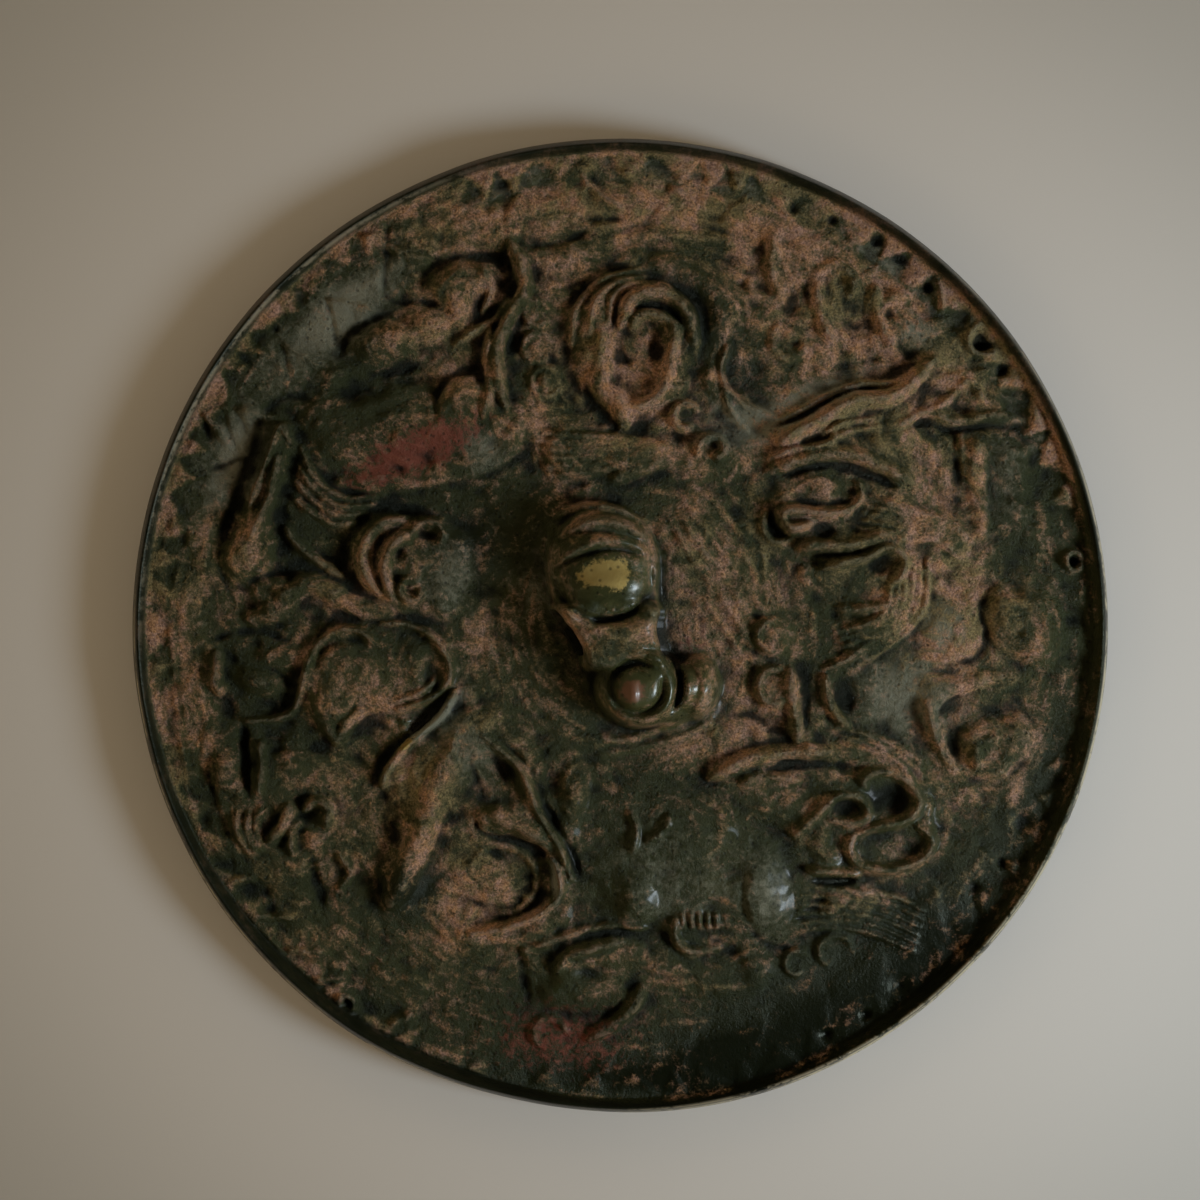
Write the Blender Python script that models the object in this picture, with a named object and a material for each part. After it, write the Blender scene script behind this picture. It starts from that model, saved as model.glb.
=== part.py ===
# Cast bronze mirror, lying on its plain polished face.
# The relief, the toothed border, the rim bead and the pierced knob are one casting.
# Metres, +Z up through the relief, origin at the middle of the plain face.

import math

import bmesh
import bpy
import numpy as np

# Plate, border and rim
MIRROR_DIAMETER = 0.1500
PLATE_THICKNESS = 0.0030        # the field between the figures
THINNEST_PLATE = 0.0018         # no carving cuts deeper than this
BORDER_WIDTH = 0.0150           # outer band that carries the teeth
BORDER_RISE = 0.0006
BORDER_SLOPE = 0.0060           # how far the band takes to rise from the field
RIM_WIDTH = 0.0028              # the bead round the edge and the slanting wall outside it
RIM_HEIGHT = 0.0020             # above the border
RIM_CREST = 0.0018              # from the edge in to the top of the bead
EDGE_HEIGHT = 0.0016            # where the slanting wall meets the upright edge
FACE_CHAMFER = 0.0005           # round the plain face
EDGE_WEAR = 0.0006              # where the rim is worn flat at the lower left
EDGE_WEAR_AT = 258              # degrees round from +X
EDGE_WEAR_SPREAD = 16

# Teeth of the border
SMALL_TEETH = 75
SMALL_TOOTH_LENGTH = 0.0045
SMALL_TOOTH_DEPTH = 0.0008
LARGE_TEETH = 37
LARGE_TOOTH_LENGTH = 0.0085
LARGE_TOOTH_HEIGHT = 0.0006
TOOTH_GAP = 0.0004              # between the rim and the small teeth

# Cord hole through the knob, along X
HOLE_WIDTH = 0.0070
HOLE_WALL = 0.0032              # straight part of its sides
HOLE_ARCH = 0.0020              # rise of its arched roof
HOLE_SILL = 0.0003              # above the field
HOLE_OFFSET = -0.0008           # from the middle of the mirror, along Y
HOLE_REACH = 0.0160             # each way from the middle, past both mouths
BRIDGE_THICKNESS = 0.0020       # metal over the hole
DOME_RISE = 0.0011              # the two domes over the bridge

# Carving
RELIEF_STEP = 0.0010            # one unit of carved height
GRID_CELLS = 210                # across the disc, before the surface is thinned out
TOP_TRIANGLES = 7600
RIM_RINGS = 0.13                # share of the rings that lie in the rim and the teeth
RIM_BAND = 0.0042

RADIUS = MIRROR_DIAMETER / 2
HUNDREDTH = RADIUS / 100        # unit of every place in the carving
FIELD_Z = PLATE_THICKNESS
BORDER_Z = FIELD_Z + BORDER_RISE
RIM_Z = BORDER_Z + RIM_HEIGHT
BRIDGE_HEIGHT = HOLE_SILL + HOLE_WALL + HOLE_ARCH + BRIDGE_THICKNESS
DOME_HEIGHT = BRIDGE_HEIGHT + DOME_RISE


def clear_scene():
    for item in list(bpy.data.objects):
        bpy.data.objects.remove(item, do_unlink=True)


def collection_named(name):
    made = bpy.data.collections.new(name)
    bpy.context.scene.collection.children.link(made)
    return made


def bronze_material():
    material = bpy.data.materials.new("patinated bronze")
    material.use_nodes = True
    shader = material.node_tree.nodes["Principled BSDF"]
    shader.inputs["Base Color"].default_value = (0.055, 0.050, 0.038, 1)
    shader.inputs["Metallic"].default_value = 0.35
    shader.inputs["Roughness"].default_value = 0.5
    return material


# A smooth curve through a few points, as an array
def smooth_path(points, steps=5, closed=False):
    points = [np.array(point, float) for point in points]
    count = len(points)
    path = []
    for i in range(count if closed else count - 1):
        start = points[i]
        end = points[(i + 1) % count]
        before = points[i - 1] if closed or i > 0 else 2 * start - end
        after = points[(i + 2) % count] if closed or i + 2 < count else 2 * end - start
        for step in range(steps):
            t = step / steps
            path.append(0.5 * (2 * start + (end - before) * t
                               + (2 * before - 5 * start + 4 * end - after) * t ** 2
                               + (3 * start - before - 3 * end + after) * t ** 3))
    path.append(points[0] if closed else points[-1])
    return np.array(path)


# Distance of each place to a path, the side of it, and how far along the path
def path_distance(u, v, path):
    best = np.full(u.shape, 1e9)
    side = np.zeros(u.shape)
    along = np.zeros(u.shape)
    spans = len(path) - 1
    for i in range(spans):
        step_u, step_v = path[i + 1] - path[i]
        from_u = u - path[i][0]
        from_v = v - path[i][1]
        share = np.clip((from_u * step_u + from_v * step_v) / (step_u ** 2 + step_v ** 2 + 1e-9), 0, 1)
        off_u = from_u - share * step_u
        off_v = from_v - share * step_v
        distance = off_u ** 2 + off_v ** 2
        nearer = distance < best
        best = np.where(nearer, distance, best)
        side = np.where(nearer, step_u * off_v - step_v * off_u, side)
        along = np.where(nearer, (i + share) / spans, along)
    return np.sqrt(best), np.sign(side), along


# Carving tools. Places are in hundredths of the radius, heights in relief steps.
# Masses keep the tallest of what overlaps, lines stand on them and cuts go into them.
class Carving:
    def __init__(self, u, v):
        self.u = u
        self.v = v
        self.mass = np.zeros(u.shape)
        self.line = np.zeros(u.shape)
        self.cut = np.zeros(u.shape)

    def near(self, points, reach):
        low = np.min(points, axis=0) - reach
        high = np.max(points, axis=0) + reach
        return np.nonzero((self.u > low[0]) & (self.u < high[0])
                          & (self.v > low[1]) & (self.v < high[1]))[0]

    def dome_shape(self, at, half, turn, foot):
        near = self.near([np.array(at, float)], max(half))
        cos = math.cos(math.radians(turn))
        sin = math.sin(math.radians(turn))
        x = self.u[near] - at[0]
        y = self.v[near] - at[1]
        square = ((x * cos + y * sin) / half[0]) ** 2 + ((y * cos - x * sin) / half[1]) ** 2
        return near, np.clip(1 - square, 0, 1) ** foot

    def mound(self, at, half, rise, turn=0, foot=0.8):
        near, shape = self.dome_shape(at, half, turn, foot)
        self.mass[near] = np.maximum(self.mass[near], rise * shape)

    def dent(self, at, half, depth, turn=0, foot=1.0):
        near, shape = self.dome_shape(at, half, turn, foot)
        self.cut[near] = np.maximum(self.cut[near], depth * shape)

    def slab(self, outline, rise, soft):
        path = smooth_path(outline, closed=True)
        near = self.near(path, 0.1)
        u = self.u[near]
        v = self.v[near]
        inside = np.zeros(u.shape, bool)
        for (from_u, from_v), (to_u, to_v) in zip(path[:-1], path[1:]):
            if from_v != to_v:
                crosses = (from_v > v) != (to_v > v)
                inside ^= crosses & (u < (to_u - from_u) * (v - from_v) / (to_v - from_v) + from_u)
        distance = path_distance(u, v, path)[0]
        edge = 1 - np.clip(distance / soft, 0, 1)
        self.mass[near] = np.maximum(self.mass[near], inside * rise * (1 - edge ** 2))

    # A slope over 1 spreads the left-hand side of the line
    def ridge(self, points, width, rise, slope=1.0, taper=0.15, layer="line"):
        path = smooth_path(points)
        near = self.near(path, width * max(slope, 1 / slope))
        distance, side, along = path_distance(self.u[near], self.v[near], path)
        wide = np.where(side > 0, width * max(slope, 1), width * max(1 / slope, 1))
        end = np.clip(np.minimum(along, 1 - along) / taper, 0, 1) ** 0.5
        shape = np.clip(1 - (distance / (wide * (0.35 + 0.65 * end))) ** 2, 0, 1) ** 1.5
        kept = getattr(self, layer)
        kept[near] = np.maximum(kept[near], shape * rise * (0.3 + 0.7 * end))

    def groove(self, points, width, depth):
        self.ridge(points, width, depth, layer="cut")

    def curl(self, at, radius, start, sweep, width, rise, shrink=0.5, layer="line"):
        count = max(4, int(abs(sweep) / 40))
        points = []
        for i in range(count + 1):
            angle = math.radians(start + sweep * i / count)
            reach = radius * (1 - (1 - shrink) * i / count)
            points.append((at[0] + reach * math.cos(angle), at[1] + reach * math.sin(angle)))
        self.ridge(points, width, rise, layer=layer)

    # Hair, manes and flames: lines spaced evenly from the first to the last
    def strands(self, first, last, count, width, rise, layer="line"):
        first = np.array(first, float)
        last = np.array(last, float)
        for i in range(count):
            share = i / (count - 1)
            self.ridge(first * (1 - share) + last * share, width, rise, taper=0.3, layer=layer)

    def height(self):
        return (self.mass + self.line - self.cut) * RELIEF_STEP


def carve_knob(carving):
    bridge = BRIDGE_HEIGHT / RELIEF_STEP
    dome = DOME_HEIGHT / RELIEF_STEP
    carving.slab([(-15, 13), (-12, 21), (-4, 26), (4, 23), (8, 15), (8, 3), (13, -3), (19.5, -11),
                 (16, -18), (5, -23), (-7, -22), (-6, -14), (-8, -6), (-12, 0), (-15, 6)], 3.4, 4)
    carving.mound((-2.5, 9.5), (11.5, 11), dome, foot=0.62)
    carving.mound((4, -12.5), (10, 9.5), dome, foot=0.6)
    carving.mound((1.5, -1.5), (8.5, 9), bridge, foot=0.55)
    carving.mound((14.5, -13), (5.5, 6.5), 4.9, turn=-20, foot=0.7)
    carving.ridge([(-15, 13), (-11, 20), (-4, 24.5), (3, 22), (7, 17)], 2.0, 1.6)
    carving.ridge([(-12, 14), (-8, 20), (-2, 21.5), (4, 18.5)], 1.5, 1.4)
    carving.groove([(-13.5, 13), (-9.5, 19.5), (-3.5, 23), (3.5, 20.5)], 1.0, 1.0)
    carving.groove([(-11, 9), (-9, 16), (-3, 18.2), (4, 15.5), (5.5, 12)], 1.6, 1.4)
    carving.ridge([(7.4, 14), (7.2, 8), (7.6, 1), (9, -2)], 0.9, 1.2)
    carving.groove([(-12, 8), (-9.5, 3.5), (-4, 1.6), (1, 2.4)], 1.5, 0.9)
    carving.curl((4, -12.5), 9.4, -150, 250, 1.2, 1.1, 0.95)
    carving.curl((4, -12.5), 7.4, -160, 300, 1.3, 1.1, 0.97, "cut")
    carving.ridge([(14, -5), (17.5, -9), (19, -13), (16, -17)], 1.2, 1.0)
    carving.groove([(11, -6), (13.2, -11), (12.5, -17)], 1.1, 1.2)
    carving.ridge([(-10, -22), (-3, -22.3), (4, -21), (11, -19.5), (18, -17.5)], 1.0, 0.9)
    carving.ridge([(-6, -24.5), (3, -23.6), (12, -21.5), (20, -18)], 1.0, 0.7)


def carve_spiral_head(carving):
    carving.slab([(-10, 60), (-10, 52), (-5, 44.5), (1, 40), (8, 43), (14, 47), (17, 55), (16.5, 64),
                 (10, 71), (0, 73), (-7, 68)], 1.3, 5)
    carving.strands([(-10, 57), (-9, 65), (-4, 70.5), (4, 73)], [(-2.5, 62), (-1.5, 67), (2, 69.5),
                    (8, 70)], 3, 0.9, 0.9)
    carving.ridge([(0, 61), (2, 66), (6, 68), (10, 67.4), (14, 63.5), (15.3, 57)], 2.1, 1.7)
    carving.ridge([(2, 60.5), (4, 63.6), (8, 63.2), (11.3, 60.5), (10.4, 56), (9.6, 51), (7.5, 46.8),
                  (3.5, 44.6), (0.8, 45.5)], 1.5, 1.4)
    carving.ridge([(-4, 60), (-3, 54), (-4.5, 49), (0, 46), (1, 40)], 2.2, 1.1)
    carving.groove([(0.2, 63.5), (4, 65.4), (9, 65), (12.6, 62)], 0.9, 0.7)
    carving.dent((7, 56.5), (2.1, 5.5), 1.2, turn=8)
    carving.dent((1, 54.3), (2.2, 1.8), 1.2)
    carving.dent((5.6, 49.6), (2.6, 1.5), 1.0, turn=25)
    carving.mound((11.3, 51.3), (1.6, 1.6), 2.6)
    carving.curl((11.3, 51.3), 2.8, 60, 300, 0.8, 0.8, 0.95)
    carving.groove([(-10.5, 57), (-9.5, 51), (-5, 45), (-0.5, 40.5)], 2.2, 0.7)
    carving.slab([(2, 76), (-4, 74), (3, 73.5), (10, 71.5), (16, 66), (17.5, 58), (16, 50), (20, 44),
                 (27, 40.5), (32, 42), (24, 46), (20.5, 52), (22, 58), (25, 65), (20, 72), (12, 76)],
                 1.9, 3.5)
    carving.ridge([(22.3, 58), (20.6, 53.5), (21.5, 49), (25, 45.6), (32, 42.4)], 0.9, 1.0)
    carving.dent((27, 51), (6.5, 6.5), 1.0, foot=1.6)
    carving.groove([(20.5, 70), (23, 67.5), (26, 65)], 0.8, 0.7)


def carve_curls(carving):
    for at, size in (((-17, 57), 3.0), ((-17, 64), 2.6), ((-15, 50), 3.2)):
        carving.mound(at, (size * 0.62, size * 0.62), 1.5)
        carving.curl(at, size, 20, 320, 0.8, 0.7, 0.95)
    carving.curl((13.3, 42.5), 3.2, 30, 290, 1.1, 1.3, 0.55)
    carving.curl((19, 36), 3.6, 200, -300, 1.2, 1.3, 0.35)
    carving.strands([(-19, 40), (-9, 39), (0, 38.6), (8, 37), (14, 33.5)], [(-14, 31), (-6, 31.5),
                    (1, 33.5), (7, 35.5), (11, 35)], 6, 0.9, 0.7)
    carving.ridge([(-2, 29.5), (3, 31), (8, 33.3), (15, 32.6)], 1.2, 1.0, slope=2)
    carving.slab([(-20, 41), (-10, 42), (0, 40.5), (12, 39), (22, 38), (27, 33), (20, 29), (8, 31.5),
                 (0, 29), (-10, 30), (-17, 33)], 0.9, 4)


def carve_right_head(carving):
    carving.slab([(28, 41), (36, 44), (46, 50), (56, 51), (64, 56), (67, 53), (60, 46), (62, 38),
                 (64, 28), (72, 22), (72, 14), (62, 10), (60, 3), (52, -3), (44, 2), (38, 10), (35, 17),
                 (30, 24), (31, 31), (28, 35)], 1.2, 6)
    carving.ridge([(30.5, 38), (35, 38.8), (40, 42), (47, 46.4), (54, 46.6), (60, 50.5), (65, 55)],
                  2.4, 1.8)
    carving.mound((34, 38.5), (4, 3), 3.0)
    carving.groove([(29, 41.6), (34, 41.4), (40, 44.6), (47, 48.7), (55, 49)], 0.9, 0.9)
    carving.ridge([(33, 44), (40, 47.5), (47, 50.6), (55, 51)], 1.2, 0.9)
    carving.strands([(39, 39.6), (43, 42.8), (50, 44)], [(42, 37), (46, 39.6), (54, 41)], 3, 0.8, 0.7)
    carving.ridge([(30, 34.2), (35, 36), (39.5, 36.6), (43, 37.8), (43.4, 40)], 0.9, 1.2)
    carving.dent((41, 38.6), (2, 1.3), 0.9, turn=20)
    carving.ridge([(29.5, 31.4), (36, 33.6), (42, 35), (48, 34.6), (54, 32), (59, 29.5)],
                  1.6, 1.5, slope=1.4)
    carving.groove([(33.5, 30.8), (39, 32.8), (45, 32.6), (51, 30.8), (56, 28.6)], 1.5, 1.2)
    carving.mound((41, 28.6), (6, 2.7), 2.5, turn=4)
    carving.groove([(35.5, 26), (41, 25.2), (46.5, 25.6)], 0.8, 1.0)
    carving.ridge([(48, 30), (49, 27.4), (47.5, 24.6), (44, 23.4)], 0.8, 1.0)
    carving.ridge([(47, 23.4), (40.5, 23), (35.5, 23.8), (33, 23.4), (32.8, 21.4), (35, 20), (39, 21.4)],
                  1.5, 1.8)
    carving.dent((31, 20.8), (2.2, 3.4), 1.2)
    carving.ridge([(29.6, 24), (29.4, 20), (31.6, 17.4), (35.5, 18)], 1.0, 0.9)
    carving.dent((41.6, 19.6), (2.4, 1.8), 1.4)
    carving.ridge([(36, 16), (40, 16.8), (45.5, 16.4), (50, 17.6), (57, 20)], 1.5, 1.5)
    carving.groove([(38, 14.4), (43, 14.8), (49, 15.6)], 0.9, 1.1)
    carving.strands([(50, 26.5), (58, 24), (66, 21.5), (72, 17)], [(48, 18.6), (56, 18), (64, 17.6),
                    (70, 13)], 6, 1.0, 0.9)
    carving.dent((40, 13), (3.4, 1.3), 1.1, turn=-20)
    carving.ridge([(40.5, 11.8), (45, 13), (49.5, 14), (54, 16.3), (57.6, 14), (57, 10.6), (54.5, 8.4)],
                  1.2, 1.5)
    carving.dent((52.8, 12.6), (2.8, 2.6), 1.2)
    carving.strands([(62.5, 14), (62, 5), (57, -2), (47, -8.5)], [(55, 9), (54, 4), (51, 1), (44, -1)],
                    6, 1.0, 1.0)
    carving.ridge([(41, -8.8), (46, -6.6), (50, -3.6), (55, -0.4)], 1.0, 1.1)
    carving.ridge([(44, 4), (50, 3.6), (55, 5)], 1.2, 0.9)


def carve_northeast_field(carving):
    for at, size in (((63, 36), 2.6), ((59, 33), 2.2), ((66, 32), 2.2), ((72, 36), 2.4), ((72, 31), 2.0)):
        carving.mound(at, (size, size), 1.3, foot=0.6)
    carving.groove([(56, 39.6), (62, 42), (67, 40), (74, 41), (81, 40.4)], 1.2, 0.9)
    carving.ridge([(57, 41), (63, 44), (68, 42), (76, 43), (82, 42)], 1.3, 0.9)
    carving.groove([(68, 40), (69, 30), (68, 22)], 1.0, 0.7)
    carving.slab([(76, 40), (82, 39), (84, 28), (81, 18), (76, 20), (75, 30)], 0.7, 3)
    carving.ridge([(62, 43), (67, 46.5), (71, 50), (74, 46)], 1.0, 0.7)
    carving.dent((48, 62), (2, 4), 0.9, turn=-15)
    carving.dent((60, 56), (3, 1.4), 0.7, turn=30)
    carving.groove([(44, 53.6), (49, 54), (53, 55)], 1.0, 0.8)
    carving.curl((35, 58), 4.5, 120, 250, 1.3, 0.7, 0.5)
    carving.curl((43, 70), 5, -40, 240, 1.4, 0.6, 0.5)
    carving.curl((57, 63), 5, 60, 260, 1.4, 0.6, 0.5)
    carving.curl((30, 70), 4, 150, 240, 1.2, 0.6, 0.5)


def carve_right_ribbon(carving):
    carving.slab([(76, 6), (83, 8), (90, 4), (90, -4), (84, -8), (77, -5), (75, 0)], 2.0, 3)
    carving.groove([(77, 9), (73.6, 4), (74.6, -2), (72.5, -6.4), (65, -7.6)], 1.1, 0.9)
    carving.mound((67, -1), (8, 9), 1.2, foot=1.2)
    carving.slab([(61, -14), (62, -10.6), (68, -9.6), (80, -8.5), (84, -11), (76, -12.6), (68, -14.5),
                 (65.5, -18), (67, -25), (70, -31), (66, -30), (62.5, -22)], 1.8, 2)
    carving.groove([(64.6, -19), (66.5, -15.4), (73, -12.8), (80, -10.6)], 0.8, 1.0)
    carving.ridge([(62, -15), (64, -22), (68, -29)], 1.4, 0.7)
    carving.slab([(69.5, -30), (69, -24), (71.5, -19.5), (79, -17.4), (84, -21), (82, -27), (77, -31)],
                 1.9, 2.5)
    carving.ridge([(72, -29), (73, -24), (77, -22)], 1.3, 0.7)
    carving.groove([(75, -33), (79, -29.5), (83, -27)], 1.5, 0.9)


def carve_curl_column(carving):
    carving.mound((31.4, -2), (3.4, 3.6), 1.7)
    carving.curl((31.4, -2), 3.8, 80, 220, 1.0, 0.9, 0.8)
    carving.mound((31.6, -12.4), (4.2, 4.8), 1.8)
    carving.curl((31.6, -12.4), 4.2, 70, 240, 1.1, 1.0, 0.75)
    carving.dent((32, -12.6), (1.6, 1.6), 0.9)
    carving.groove([(27.6, -7), (26.6, -11), (28.4, -15.6)], 1.3, 0.8)
    carving.ridge([(34.6, -8), (35, -14), (35.8, -19), (36, -24)], 1.6, 1.4)
    carving.groove([(37.6, -9), (38, -15), (37.4, -22)], 1.2, 0.7)
    carving.ridge([(42, -9.5), (42.2, -14), (44, -18), (47, -20.5)], 1.3, 1.4)
    carving.dent((46, -14), (2.8, 4.8), 1.2)
    carving.groove([(22, -18.4), (26, -18), (30, -20)], 1.2, 0.7)


def carve_tail_knot(carving):
    carving.slab([(20, -31), (27, -26), (36, -24.6), (46, -23), (55, -25), (62, -31), (65, -38),
                 (64, -47), (57, -51), (47, -50.5), (36, -47), (32, -42), (24, -36)], 1.0, 4)
    carving.ridge([(18, -31), (23, -28), (29, -25.8), (36, -25.2), (43, -25.4)], 1.9, 1.5)
    carving.ridge([(24, -32), (30, -30.2), (37, -31.4)], 1.2, 0.9)
    carving.groove([(27, -31.4), (33, -28.4), (42, -28), (50, -28.6)], 1.7, 1.3)
    carving.strands([(44, -20.4), (52, -22.4), (58, -25.4), (63, -29)], [(46, -24), (52, -25.4),
                    (57, -28), (61, -32)], 3, 0.7, 0.7)
    carving.dent((46, -36.6), (3.4, 2.1), 1.7, turn=-8)
    carving.dent((54.5, -34.4), (5.6, 3.6), 1.9, turn=-25, foot=0.8)
    carving.dent((55.8, -44.2), (6.8, 3.6), 1.8, turn=8, foot=0.8)
    carving.ridge([(35, -42.6), (39.5, -38.4), (44, -34.4), (48.6, -34.6), (50.2, -38), (47, -39.8),
                  (42.6, -39)], 1.1, 1.3)
    carving.ridge([(50, -33), (49.6, -30.6), (53, -29.2), (58, -31), (60.6, -35.4), (58, -39),
                  (52, -40.6), (47.4, -42)], 1.2, 1.4)
    carving.ridge([(48, -41.6), (46.4, -44.6), (48.6, -48.4), (55, -49.3), (61.6, -47), (63.4, -43),
                  (60, -40)], 1.2, 1.4)
    carving.ridge([(38, -49.4), (43, -49.8), (49, -50.2)], 1.2, 1.5)
    carving.groove([(39.5, -51.8), (44, -52.2), (48, -51.4)], 1.2, 1.1)
    carving.mound((40.5, -43.6), (3, 2.6), 2.3)
    carving.mound((43, -47), (3.4, 1.8), 2.3)


def carve_hind_body(carving):
    carving.slab([(0, -32), (8, -30), (20, -34), (30, -42), (35, -48), (38, -56), (34, -64), (26, -66),
                 (18, -60), (8, -62), (-2, -61), (-5, -52), (-3, -40)], 1.3, 9)
    carving.mound((13, -43), (15, 11), 2.3, foot=1.2)
    carving.mound((29.6, -54.6), (6.2, 9), 3.4, turn=6, foot=0.75)
    carving.mound((3.5, -55), (5.5, 7), 2.8, foot=0.9)
    carving.ridge([(10, -37.4), (9, -41), (5, -44)], 0.9, 0.7)
    carving.ridge([(2, -37.5), (3.3, -41), (2.4, -46)], 1.0, 0.9)
    carving.groove([(26, -49), (24.6, -55), (27, -62), (31, -65), (36, -65.6)], 1.2, 0.9)
    carving.strands([(38, -52.8), (46, -53.6), (56, -55), (62, -58)], [(34, -62.6), (42, -61.2),
                    (50, -62), (60, -66)], 6, 0.8, 0.8)
    for k in range(5):
        carving.ridge([(12.6 + 1.7 * k, -58), (12.9 + 1.7 * k, -61.6)], 0.6, 0.9)
    carving.ridge([(11.4, -59), (11.2, -63), (14, -66), (20.5, -65)], 1.2, 1.2)
    carving.groove([(13, -64.2), (17, -65.3), (21, -63.8)], 0.9, 0.9)
    carving.slab([(4, -69), (12, -67.5), (22, -67), (31, -66), (31, -72), (26, -76), (14, -75),
                 (5, -72)], 1.0, 3)
    carving.mound((27.4, -70), (3.4, 4.2), 2.2)
    for k in range(3):
        carving.mound((16.8 + 3 * k, -73), (1.4, 1.9), 2.2)
    carving.groove([(4, -70.6), (10, -71.4), (15, -71)], 1.0, 1.3)
    carving.ridge([(-7, -84.5), (-1, -81), (2.6, -77.5), (4.6, -73.4)], 1.9, 1.5)
    carving.curl((43.5, -66.4), 4, 10, 230, 1.0, 0.7, 0.7)
    carving.curl((36, -68.6), 2.8, 30, 280, 0.9, 0.7, 0.7)
    carving.dent((57, -73), (2.6, 2.6), 0.8)


def carve_eye_scroll(carving):
    carving.slab([(-14, -70), (-11, -66.6), (-5, -64.4), (2, -63), (5, -67), (1, -73), (-5, -78),
                 (-14, -78)], 1.4, 3)
    carving.ridge([(-13.6, -71), (-11, -67.6), (-5.6, -65.4), (1, -64)], 1.5, 1.1)
    carving.ridge([(-20, -66.5), (-11, -63.4), (-2, -61.2), (6, -61.6)], 0.9, 0.9)
    carving.dent((-5.4, -70.8), (4.6, 2.2), 1.3, turn=8)
    for k in range(7):
        carving.mound((-15 + 2.6 * k, -75.2 - 1.4 * (k % 2)), (1.5, 1.3), 2.0)
    carving.groove([(-21, -66), (-20, -72), (-19, -77)], 1.7, 0.9)
    carving.curl((-15, -84), 4.5, 0, 230, 1.2, 0.7, 0.5)


def carve_fore_legs(carving):
    carving.slab([(-29, -13), (-38, -20), (-45.5, -25.5), (-49, -32), (-47.5, -39), (-49.5, -52),
                 (-48, -58.5), (-42, -58), (-39, -50), (-37, -42), (-33, -35), (-29, -30), (-24, -24),
                 (-22, -16)], 2.3, 3.5)
    carving.ridge([(-29, -13.2), (-34, -17), (-39, -20.4), (-45, -24.2), (-48.4, -29), (-49, -34),
                  (-47.6, -38)], 1.0, 1.7, slope=1.8, taper=0.05)
    carving.groove([(-33, -14), (-38, -17.4), (-44, -21), (-49, -27), (-51.4, -34)], 2.0, 0.8)
    carving.ridge([(-33, -26), (-37, -34), (-39.4, -41), (-41.6, -48), (-45, -55)], 2.6, 1.4)
    carving.slab([(-24, -20), (-17, -24), (-15, -33), (-14, -40), (-10, -47), (-11, -56), (-14.5, -47),
                 (-20, -44), (-28, -42), (-30, -38.6), (-26, -36), (-22, -35), (-22, -29), (-26, -24)],
                 2.0, 2.5)
    carving.groove([(-18.6, -22), (-17, -29), (-15.4, -35), (-14.2, -41), (-11, -46), (-9.6, -52)],
                   1.5, 1.5)
    carving.strands([(-31, -24), (-30, -29), (-28, -34)], [(-24, -23), (-22.6, -27), (-21, -32)],
                    3, 1.0, 0.8, "cut")
    carving.ridge([(-29, -39), (-24, -38), (-17.5, -39.6)], 2.4, 1.0)
    carving.dent((-25.5, -52), (13, 9.6), 1.8, turn=-4, foot=0.9)
    carving.groove([(-27, -43), (-20, -44.6), (-15.6, -46.6)], 1.3, 1.9)
    carving.ridge([(-15.6, -46), (-13.4, -50), (-13.6, -55.4), (-18, -59), (-26, -61.6), (-34, -63.4)],
                  1.5, 1.7)
    carving.mound((-28, -51.6), (8, 5), 1.9, turn=-6)
    carving.dent((-25.4, -53.4), (3.2, 1.6), 0.8, turn=-10)
    carving.ridge([(-36, -49), (-30, -46.6), (-22, -47.6), (-17.6, -51)], 0.9, 0.8)
    carving.slab([(-34, -63), (-24, -61), (-14, -56.6), (-8, -58), (-12, -62), (-20, -65), (-30, -66.5)],
                 1.6, 2.5)
    carving.mound((-9.4, -36.6), (4.2, 8), 2.3, turn=-10)


def carve_thigh(carving):
    carving.slab([(-66, -18), (-65, -8), (-60, -1), (-54, 0.6), (-47, 1), (-40, 1), (-35, -3),
                 (-32.6, -9), (-35, -14), (-41, -17.5), (-48, -18), (-54, -19), (-58, -24), (-61, -20)],
                 1.1, 2.5)
    carving.mound((-53.6, -10.4), (8.6, 8.4), 3.2, foot=0.75)
    carving.mound((-58, -15), (5.4, 7), 2.9, turn=-15)
    carving.mound((-42.6, -6.4), (3.8, 4.4), 2.9)
    carving.ridge([(-60, -20), (-57.6, -23), (-55, -19.4), (-52, -16.6)], 1.6, 1.2)
    carving.ridge([(-77, -19.2), (-71, -18.8), (-67, -17.4), (-65, -13), (-63.8, -8), (-61.6, -3.6),
                  (-57.6, -0.6), (-53, -0.8), (-49, -4)], 1.1, 1.4, taper=0.05)
    carving.groove([(-62.4, -9), (-60, -4.6), (-56, -2.6), (-51.6, -3.6)], 1.3, 1.1)
    carving.ridge([(-49, 0.8), (-43.6, 0.6), (-38.4, -1.8), (-35, -6.4), (-35, -11), (-38.6, -14.6),
                  (-46, -17)], 1.1, 1.3, taper=0.08)
    carving.dent((-38.8, -9.4), (2.4, 4.6), 1.4, turn=15)
    carving.ridge([(-45, -14.8), (-40.6, -13.4), (-37.4, -10.6)], 0.8, 0.9)
    for k in range(3):
        carving.ridge([(-45 + 0.2 * k, -19 - 1.1 * k), (-43 + 0.2 * k, -19.3 - 1.1 * k)], 0.5, 0.6)
    carving.ridge([(-82, -4.6), (-82.2, -9.4), (-81.6, -14)], 1.5, 1.4)
    carving.groove([(-84, -3), (-79, -1.2), (-73, -1), (-67, -3.4)], 1.3, 1.0)
    carving.mound((-74, -11), (5.4, 3.2), 2.2, turn=-20)
    carving.mound((-70, -6), (4.4, 3), 1.6, turn=-15)
    carving.groove([(-77, -7.6), (-71, -8.6), (-67, -12)], 0.9, 0.9)


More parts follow.
